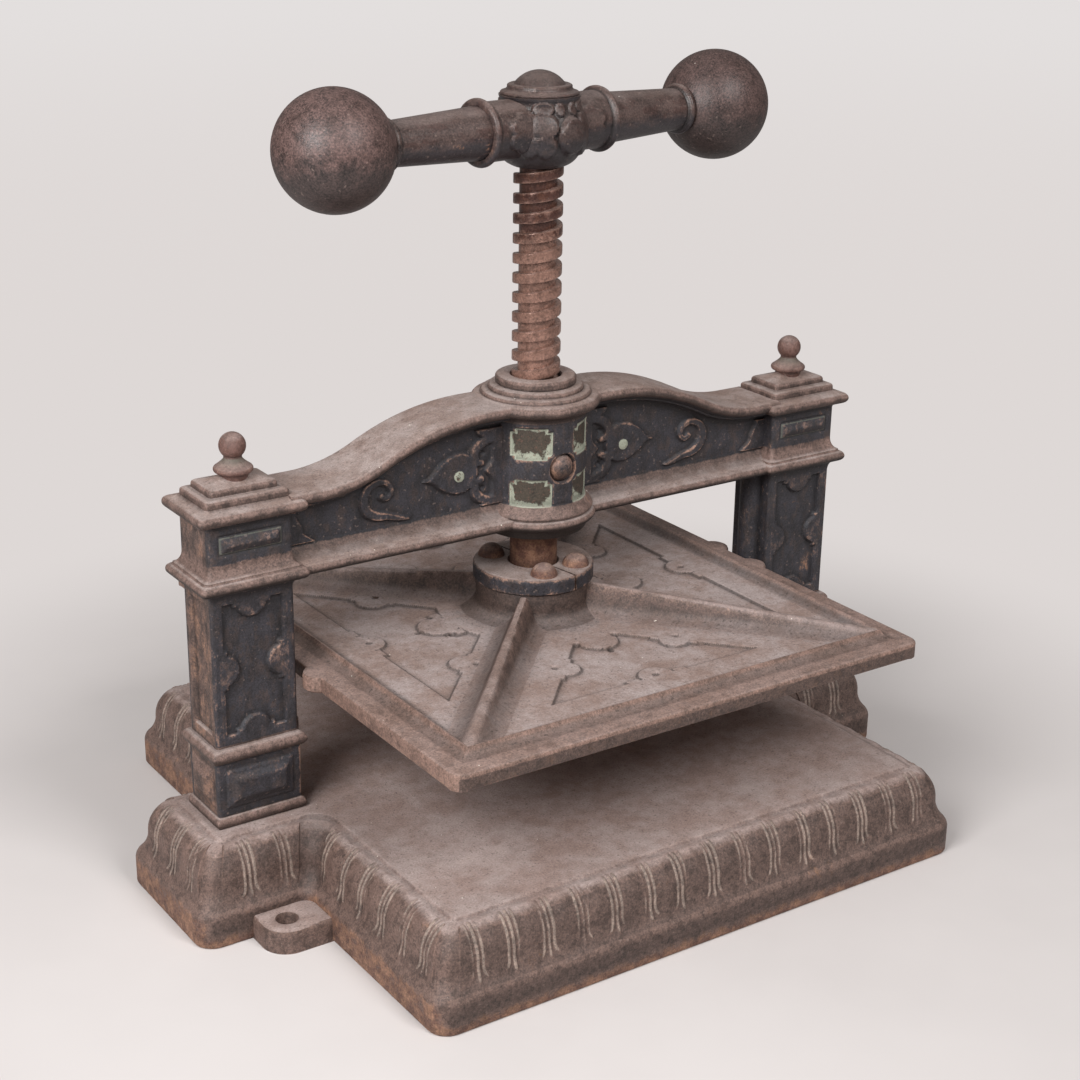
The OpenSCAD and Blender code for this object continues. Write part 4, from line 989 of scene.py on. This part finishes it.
def platen_plate():
    """The plate with its lip, rim and sunk plates."""
    gx, gy = np.meshgrid(fine_line(PLATEN_W / 2, 1.0), fine_line(PLATEN_D / 2, 1.0))
    top = np.stack([*round_corners(gx, gy), platen_height(gx, gy)], axis=-1).reshape(-1, 3)
    here = np.arange(len(top)).reshape(gx.shape)
    squares = [here[:-1, :-1], here[:-1, 1:], here[1:, 1:], here[1:, :-1]]
    quads = [np.stack(squares, axis=-1).reshape(-1, 4)]
    upper = np.concatenate([here[0, :-1], here[:-1, -1], here[-1, :0:-1], here[:0:-1, 0]])
    outline = top[upper]
    straight = np.abs(outline[:, :2]) > np.array([PLATEN_W, PLATEN_D]) / 2 - 0.01
    points = [top]
    start = len(top)
    for z, pull in ((LIP_Z - 4, 0), (PLATEN_Z + 1.2, 0), (PLATEN_Z + 0.3, 0.3), (PLATEN_Z, 1.2)):
        flat = outline[:, :2] - np.sign(outline[:, :2]) * pull * straight
        points.append(np.column_stack([flat, np.full(len(flat), z)]))
        lower = np.arange(start, start + len(flat))
        quads.append(np.stack([lower, np.roll(lower, -1), np.roll(upper, -1), upper], axis=-1))
        upper = lower
        start += len(flat)
    band = smooth(CREST_IN + 4, CREST_IN, from_edge(gx, gy)).ravel()
    ends = (np.abs(np.vstack(points[1:])[:, 1]) > PLATEN_D / 2 - 2).astype(float)
    # The lip's front and back faces get painted shade, and the top gets painted shade in its hollows.
    tints = {"bare": np.concatenate([band, 0.7 * (1 - ends)]),
             "rusted": np.concatenate([0 * band, 0.25 + 0.1 * ends]),
             "sooty": np.concatenate([platen_painted_shade(gx, gy).ravel(), 0.45 * ends])}
    return np.vstack(points), np.vstack(quads), [upper[::-1].tolist()], tints


def platen_shell():
    shell = Shell().add(*platen_plate())
    r, high = PLATEN_BOSS_R, PLATEN_BOSS_Z
    boss_rows = [(0.5, LIP_Z - 3), (51, LIP_Z - 3), (51, LIP_Z - 0.3)]
    boss_rows += arc(50.5, LIP_Z + 9.2, 12, 9.2, 266, 180, 10)
    boss_rows += [(r, high - 1), (r - 0.5, high), (0.5, high)]
    # The boss under the collar is made darker all over.
    shell.add(*turned(boss_rows, 120), {"bare": 0.4, "sooty": 0.6})
    knuckle = [(0.5, PLATEN_Z), (10, PLATEN_Z), (11, PLATEN_Z + 1), (11, LIP_Z - 2.5), (10.3, LIP_Z - 0.8),
               (8.5, LIP_Z), (0.5, LIP_Z)]
    for sx, sy in CORNERS:
        place = Matrix.Translation((sx * (PLATEN_W / 2 - 4.3), sy * 21, 0))
        shell.add(*moved(turned(knuckle, 48), place), {"bare": 1})
        shell.add(*platen_rib(sx, sy))
    return shell


# Collar, its screws, and other turned fittings

COLLAR_R, COLLAR_Z, COLLAR_T = 40.6, 173, 11
COLLAR_SCREWS_R = 29.5


def collar_half(start):
    """Half of the split ring, swept from the slit line at start (degrees) through half a turn."""
    kerf = math.degrees(0.6 / 28)
    r, top = COLLAR_R, COLLAR_T
    section = [(16.4, 0), (39.6, 0), (r, 0.8), (r, 2.4), (r, 5), (r, top - 3.2), (r, top - 1.6),
               (40.1, top - 0.6), (38.9, top), (37, top), (28, top), (19, top), (17.4, top), (16.4, top - 1)]
    angle = np.radians(np.linspace(start + kerf, start + 180 - kerf, 80))
    rings = [[(r * math.cos(a), r * math.sin(a), COLLAR_Z + z) for r, z in section] for a in angle]
    bare = [0] * 6 + [0.1, 0.5] + [1] * 5 + [0.5]
    return Shell().add(*loft(rings), {"bare": np.tile(bare, len(rings))})


def dome(radius, height, sides=48):
    """A dome-headed screw's head on a thin seat, drawn on Z = 0 and sunk a little below it."""
    ball = (radius ** 2 + height ** 2) / (2 * height)
    span = math.degrees(math.asin(min(1, radius / ball)))
    if height > ball:
        span = 180 - span
    rows = [(0.3, -1.5), (radius - 0.6, -1.5), (radius - 0.2, -0.2)]
    rows += [(max(x, 0.3), z) for x, z in arc(0, height - ball, ball, ball, 90 - span, 89, 12)]
    return turned(rows, sides)


def collar_screw_shell():
    shell = Shell()
    for turn in (-110, -50, 70, 130):
        seat = Vector((COLLAR_SCREWS_R, 0, COLLAR_Z + COLLAR_T))
        place = Matrix.Translation(Matrix.Rotation(math.radians(turn), 3, "Z") @ seat)
        shell.add(*moved(dome(9, 8.0), place), {"rusted": 0.75})
    return shell


def set_screw_shell(side):
    seat = Matrix.Translation((0, side * (BOSS_R - RECESS_SUNK), BOSS_MID))
    place = seat @ Matrix.Rotation(-side * math.pi / 2, 4, "X")
    return Shell().add(*moved(dome(9.2, 8.0), place), {"bare": 0.6, "rusted": 0.5})


def finial_shell(side):
    """A ball on a bell-shaped foot, with a green tinge round the neck."""
    foot = [(0.4, 0), (8.4, 0), (8.8, 2), (9.0, 4.4)] + arc(10.4, 6.6, 1.7, 1.9, -80, 70, 7)
    bell = [(9.6, 9.4), (7.6, 11.0), (6.2, 12.4), (5.6, 13.4)]
    ball = [(max(radius, 0.3), height) for radius, height in arc(0, 20.95, 8.25, 8.25, -48, 89, 18)]
    rows = foot + bell + ball
    tinge = np.interp([height for _, height in rows], [7.5, 10, 14, 15], [0, 0.045, 0.06, 0])
    points, quads, caps = turned(rows, 56)
    place = [side * COL_X, 0, box_mm("left_finial")[0][2]]
    return Shell().add(points + place, quads, caps, {"gilt": np.repeat(tinge, 56)})


def nut_shell():
    """The bush in the boss: its plain barrel, and a rounded flange that shows round the screw."""
    low, high = (corner[2] for corner in box_mm("screw_nut"))
    bore = SCREW_R + 0.5
    rows = [(bore, low), (20, low), (20, high - 6), (26.5, high - 5.4)]
    rows += arc(24.4, high - 2.4, 2.2, 2.2, -10, 85, 6)
    rows += [(20.5, high), (bore + 0.8, high - 0.4), (bore, high - 1.4)]
    return Shell().add(*turned(rows, looped=True), {"bare": 1})


# Screw and handle

def worn_below(points):
    """How far the screw is worn bright, more the lower down."""
    return 0.85 * smooth(430, 385, points[:, 2]) * smooth(230, 290, points[:, 2])


THREAD_LOW, THREAD_HIGH = 219, 446


def screw_shell():
    low, high = THREAD_LOW, THREAD_HIGH
    core = [(0.4, 165.3), (23.4, 165.3), (24, 166), (24, 172), (23.4, 172.7), (SCREW_R, 172.7)]
    core += [(SCREW_R, low - 0.6), (SCREW_R - 0.6, low), (ROOT_R, low)]
    core += [(ROOT_R, z) for z in np.arange(low + 6, high, 6)] + [(ROOT_R, high + 8), (0.4, high + 8)]
    points, quads, caps = turned(core, 64)
    rusted = 0.9 * smooth(low + 1, low - 1, points[:, 2])
    shell = Shell().add(points, quads, caps, {"bare": worn_below(points), "rusted": rusted})
    half = RIDGE_W / 2
    flank = [(ROOT_R - 0.6, half), (ROOT_R + 0.3, half), (SCREW_R - 0.7, half),
             (SCREW_R - 0.15, half - 0.25), (SCREW_R, half - 0.9)]
    section = [(ROOT_R - 0.6, -half)] + flank + [(SCREW_R, 0)] + [(r, -z) for r, z in flank[:0:-1]]
    steps = 44
    first = math.ceil((half + 0.2) / PITCH * steps)
    last = math.floor((high + 3 - low) / PITCH * steps)
    rings = []
    for i in range(first, last + 1):
        a = 2 * math.pi * i / steps
        mid = low + PITCH * i / steps
        rings.append([(r * math.cos(a), r * math.sin(a), mid + z) for r, z in section])
    points, quads, caps = loft(rings)
    return shell.add(points, quads, caps, {"bare": worn_below(points)})


HUB_Z, HUB_TOP = 446, 492.5
LEAF_R, BARREL_R = 30, 18.3


def discs(u, v, rows):
    """Signed distance to a group of discs (u, v, radius)."""
    return np.minimum.reduce([np.hypot(u - cu, v - cv) - r for cu, cv, r in rows])


def leaf_relief(angle, z):
    """Leaves round the bulb of the hub, in front and behind: a scalloped one on each side, an oval one over
    them, and small ones under the rim."""
    total = np.zeros_like(angle)
    v = z - HUB_Z
    for turn in (-math.pi / 2, math.pi / 2):
        u = ((angle - turn + math.pi) % (2 * math.pi) - math.pi) * LEAF_R
        a = np.abs(u)
        side_leaf = discs(a, v, [(38, 19, 7), (37, 30, 6.5), (30, 33, 5.5), (29, 17, 7), (22, 33, 5),
                                 (24, 25, 9), (16, 30, 7), (17, 17, 7)])
        oval = 10 * (np.hypot((u - 2) / 10.5, (v - 23.5) / 11.5) - 1)
        small = 4 * (np.hypot((a - 19) / 8.5, (v - 40) / 3.8) - 1)
        small = np.minimum(small, np.hypot(a - 6, v - 39.5) - 3.8)
        leaves = [raised(side_leaf, 2.2, 0.7), raised(small, 1.6, 0.6), raised(oval, 3.2, 0.7)]
        vein = np.maximum(np.abs(v - 24 - 0.12 * (a - 24)) - 0.5, side_leaf + 3)
        total = np.maximum.reduce([total, *leaves]) - raised(vein, 0.7, 0.5)
    return total


def hub_shell():
    rows = [(12.5, 2.2), (15.6, 2.2), (17.4, 2.8), (20.8, 4.6), (23.6, 7.2), (25.8, 10.6), (27.4, 14.6),
            (28.4, 19), (28.8, 24), (28.4, 28.5), (27.4, 32.5), (26.0, 36), (24.8, 38.6), (24.2, 41),
            (24.4, 43), (25.4, 45)]
    rows = [*curve_through(rows, 3), (25.6, 46.2), (12.5, 46.5)]
    angle = round_angles(200)
    rings = []
    for radius, z in rows:
        leaves = leaf_relief(angle, HUB_Z + z) * float(smooth(3, 8, z) * smooth(45, 43, z))
        rings.append(ring(angle + HANDLE_TURN, radius + leaves, HUB_Z + z))
    shell = Shell().add(*loft(rings), {"sooty": 0.35})
    barrel = [(0.5, 4), (18.2, 4)] + [(BARREL_R, s) for s in np.arange(16, 46.5, 1.2)] + [(18.8, 46.6)]
    barrel += arc(18.7, 49.2, 2.3, 2.3, -75, 90, 9) + [(16.6, 51.5), (16.4, 50.6), (0.5, 50.6)]

    def leaf_tip(angle, row):
        """The scalloped leaves reach out over the barrel, in front and behind."""
        along = barrel[row][1]
        round_it = np.abs(np.abs((angle + math.pi) % (2 * math.pi) - math.pi) - math.pi / 2) * BARREL_R
        tip = discs(along, round_it, [(33, 4, 5.5), (27, 8, 5), (22, 0, 11)])
        return raised(tip, 2.0, 0.7) * (16 <= along < 46)

    for side in (-1, 1):
        shell.add(*moved(turned(barrel, 120, leaf_tip), along_arm(side)))
    return shell


def arm_shell(side):
    rows = [(0.5, 50.7), (16.2, 50.7), (16.2, 53)]
    rows += [(np.interp(s, [53, 119], [16.4, 13.6]), s) for s in np.arange(53.5, 119, 3)]
    rows += [(13.6, 118.6), (14.6, 119.2)] + arc(14.6, 121.6, 1.9, 2.3, -80, 80, 7)
    rows += [(13.6, BALL_SEAT + 0.2), (0.5, BALL_SEAT + 0.2)]
    return Shell().add(*moved(turned(rows, 64), along_arm(side)))


def ball_shell(side):
    span = math.degrees(math.acos((BALL_REACH - BALL_SEAT) / BALL_R))
    ball = arc(0, BALL_REACH, BALL_R, BALL_R, -90 + span, 89.4, 44)
    rows = [(0.4, BALL_SEAT)] + [(max(r, 0.4), s) for r, s in ball]
    # The right ball gets more painted shade than the left.
    return Shell().add(*moved(turned(rows, 84), along_arm(side)), {"sooty": 0.4 if side > 0 else 0.15})


def cap_washer_shell():
    rows = [(9, -0.4), (23.6, -0.4), (24.6, 0.2), (24.7, 0.9), (24.2, 1.5)]
    rows += arc(25.4, 4.6, 5.2, 3.1, 256, 190, 7) + [(20.4, 4.9), (20.1, 5.5), (19.2, 6.0), (9, 6.0)]
    return Shell().add(*turned([(radius, HUB_TOP + height) for radius, height in rows]))


def cap_nut_shell():
    top = box_mm("cap_nut")[1][2]
    return Shell().add(*moved(dome(17.4, 10.2, 72), Matrix.Translation((0, 0, top - 10.3))), {"sooty": 0.4})


add_piece("base_casting", base_shell(), base_iron, ["base"])
for side, word in ((-1, "left"), (1, "right")):
    add_piece(word + "_column_casting", column_shell(side), black_iron, [word + "_column"])
    add_piece(word + "_finial_nut", finial_shell(side), rusty_iron, [word + "_finial"])
    add_piece(word + "_handle_arm", arm_shell(side), handle_iron, [word + "_arm"])
    add_piece(word + "_handle_ball", ball_shell(side), ball_iron, [word + "_ball"])
add_piece("crosshead_casting", crosshead_shell(), black_iron, ["crosshead"])
add_piece("platen_casting", platen_shell(), platen_iron, ["platen"])
add_piece("left_collar_piece", collar_half(100), black_iron, ["left_collar_half"])
add_piece("right_collar_piece", collar_half(-80), black_iron, ["right_collar_half"])
add_piece("collar_dome_screws", collar_screw_shell(), rusty_iron, ["collar_screws"])
add_piece("front_set_screw", set_screw_shell(-1), black_iron, ["front_nut_screw"])
add_piece("rear_set_screw", set_screw_shell(1), black_iron, ["rear_nut_screw"])
add_piece("threaded_nut", nut_shell(), black_iron, ["screw_nut"])
add_piece("threaded_screw", screw_shell(), rusty_steel, ["press_screw"])
add_piece("leafed_hub", hub_shell(), handle_iron, ["handle_hub"])
add_piece("moulded_washer", cap_washer_shell(), handle_iron, ["cap_washer"])
add_piece("dome_nut", cap_nut_shell(), handle_iron, ["cap_nut"])

# Nodes that stay as they are, mostly out of sight
for node, material in (("left_tie_rod", rusty_steel), ("right_tie_rod", rusty_steel),
                       ("rod_washers", rusty_steel), ("thrust_pad", bronze), ("hub_key", rusty_steel)):
    slots = frame["nodes"][node].data.materials
    slots.clear()
    slots.append(material)


# Floor, light and camera

FLOOR_TONE, BACKDROP_TONE = rgb(222, 216, 214), rgb(227, 223, 222)


def pale_floor():
    """A pale floor that keeps the press's shadow. Far away it fades to an even tone for the camera alone."""
    mesh = bpy.data.meshes.new("floor")
    half = 40
    corners = [(-half, -half, 0), (half, -half, 0), (half, half, 0), (-half, half, 0)]
    mesh.from_pydata(corners, [], [(0, 1, 2, 3)])
    floor = bpy.data.objects.new("floor", mesh)
    bpy.context.scene.collection.objects.link(floor)
    graph = Graph("pale_floor")
    patches = graph.step(graph.noise(300, 4, 0.6), 0.35, 0.65)
    tone = graph.mix(patches, rgb(214, 208, 206), rgb(209, 203, 201))
    graph.fill(graph.shader, {"Base Color": tone, "Roughness": 0.8})
    far = graph.node("VectorMath", {0: graph.place}, operation="LENGTH").outputs["Value"]
    even = graph.node("Emission", {"Color": graph.mix(graph.step(far, 1.2, 6), FLOOR_TONE, BACKDROP_TONE)})
    seen = graph.times(graph.step(far, 0.28, 0.65), graph.node("LightPath").outputs["Is Camera Ray"])
    join = graph.node("MixShader", {"Fac": seen, 1: graph.shader.outputs[0], 2: even.outputs[0]})
    graph.fill(graph.nodes["Material Output"], {"Surface": join.outputs[0]})
    mesh.materials.append(graph.material)


def lamp(name, place, target, size, power):
    data = bpy.data.lights.new(name, "AREA")
    data.shape = "RECTANGLE"
    data.size, data.size_y = size
    data.energy = power
    lamp_object = bpy.data.objects.new(name, data)
    lamp_object.location = place
    lamp_object.rotation_euler = (Vector(target) - Vector(place)).to_track_quat("-Z", "Y").to_euler()
    bpy.context.scene.collection.objects.link(lamp_object)


def studio():
    """A softbox on the left, soft light from above, and a pale backdrop that only the camera sees."""
    world = bpy.data.worlds.new("studio")
    world.use_nodes = True
    nodes, links = world.node_tree.nodes, world.node_tree.links
    room = nodes["Background"]
    room.inputs["Color"].default_value = rgb(236, 232, 230)
    room.inputs["Strength"].default_value = 0.27
    backdrop = nodes.new("ShaderNodeBackground")
    backdrop.inputs["Color"].default_value = BACKDROP_TONE
    path = nodes.new("ShaderNodeLightPath")
    join = nodes.new("ShaderNodeMixShader")
    links.new(path.outputs["Is Camera Ray"], join.inputs["Fac"])
    links.new(room.outputs[0], join.inputs[1])
    links.new(backdrop.outputs[0], join.inputs[2])
    links.new(join.outputs[0], nodes["World Output"].inputs["Surface"])
    bpy.context.scene.world = world
    lamp("key", (-1.25, -0.55, 1.1), (0, 0, 0.2), (0.8, 0.8), 25)
    lamp("front", (0.25, -1.75, 1.75), (0, 0, 0.2), (0.8, 0.8), 29)
    lamp("top", (-0.2, 0.4, 2.2), (0, 0, 0.2), (1.8, 1.8), 4)


def photo_camera():
    """The camera as fitted to the photograph, with the frame in pixels and the eye in metres."""
    image = 1080
    focal = 1951.3
    centre = (524.33, 537.36)
    azimuth, elevation, roll = math.radians(33.97), math.radians(20.49), math.radians(0.70)
    eye = Vector((-0.6901, -1.0133, 0.6574))
    data = bpy.data.cameras.new("photo_view")
    data.sensor_width = 36
    data.lens = focal / image * data.sensor_width
    data.shift_x = (image / 2 - centre[0]) / image
    data.shift_y = (centre[1] - image / 2) / image
    camera = bpy.data.objects.new("photo_view", data)
    forward = Vector((math.sin(azimuth) * math.cos(elevation), math.cos(azimuth) * math.cos(elevation),
                      -math.sin(elevation)))
    right = forward.cross(Vector((0, 0, 1))).normalized()
    upward = right.cross(forward)
    tilted_right = right * math.cos(roll) + upward * math.sin(roll)
    tilted_up = upward * math.cos(roll) - right * math.sin(roll)
    turn = Matrix((tilted_right, tilted_up, -forward)).transposed().to_4x4()
    camera.matrix_world = Matrix.Translation(eye) @ turn
    bpy.context.scene.collection.objects.link(camera)
    bpy.context.scene.camera = camera


pale_floor()
studio()
photo_camera()
bpy.context.scene.view_settings.view_transform = "Standard"
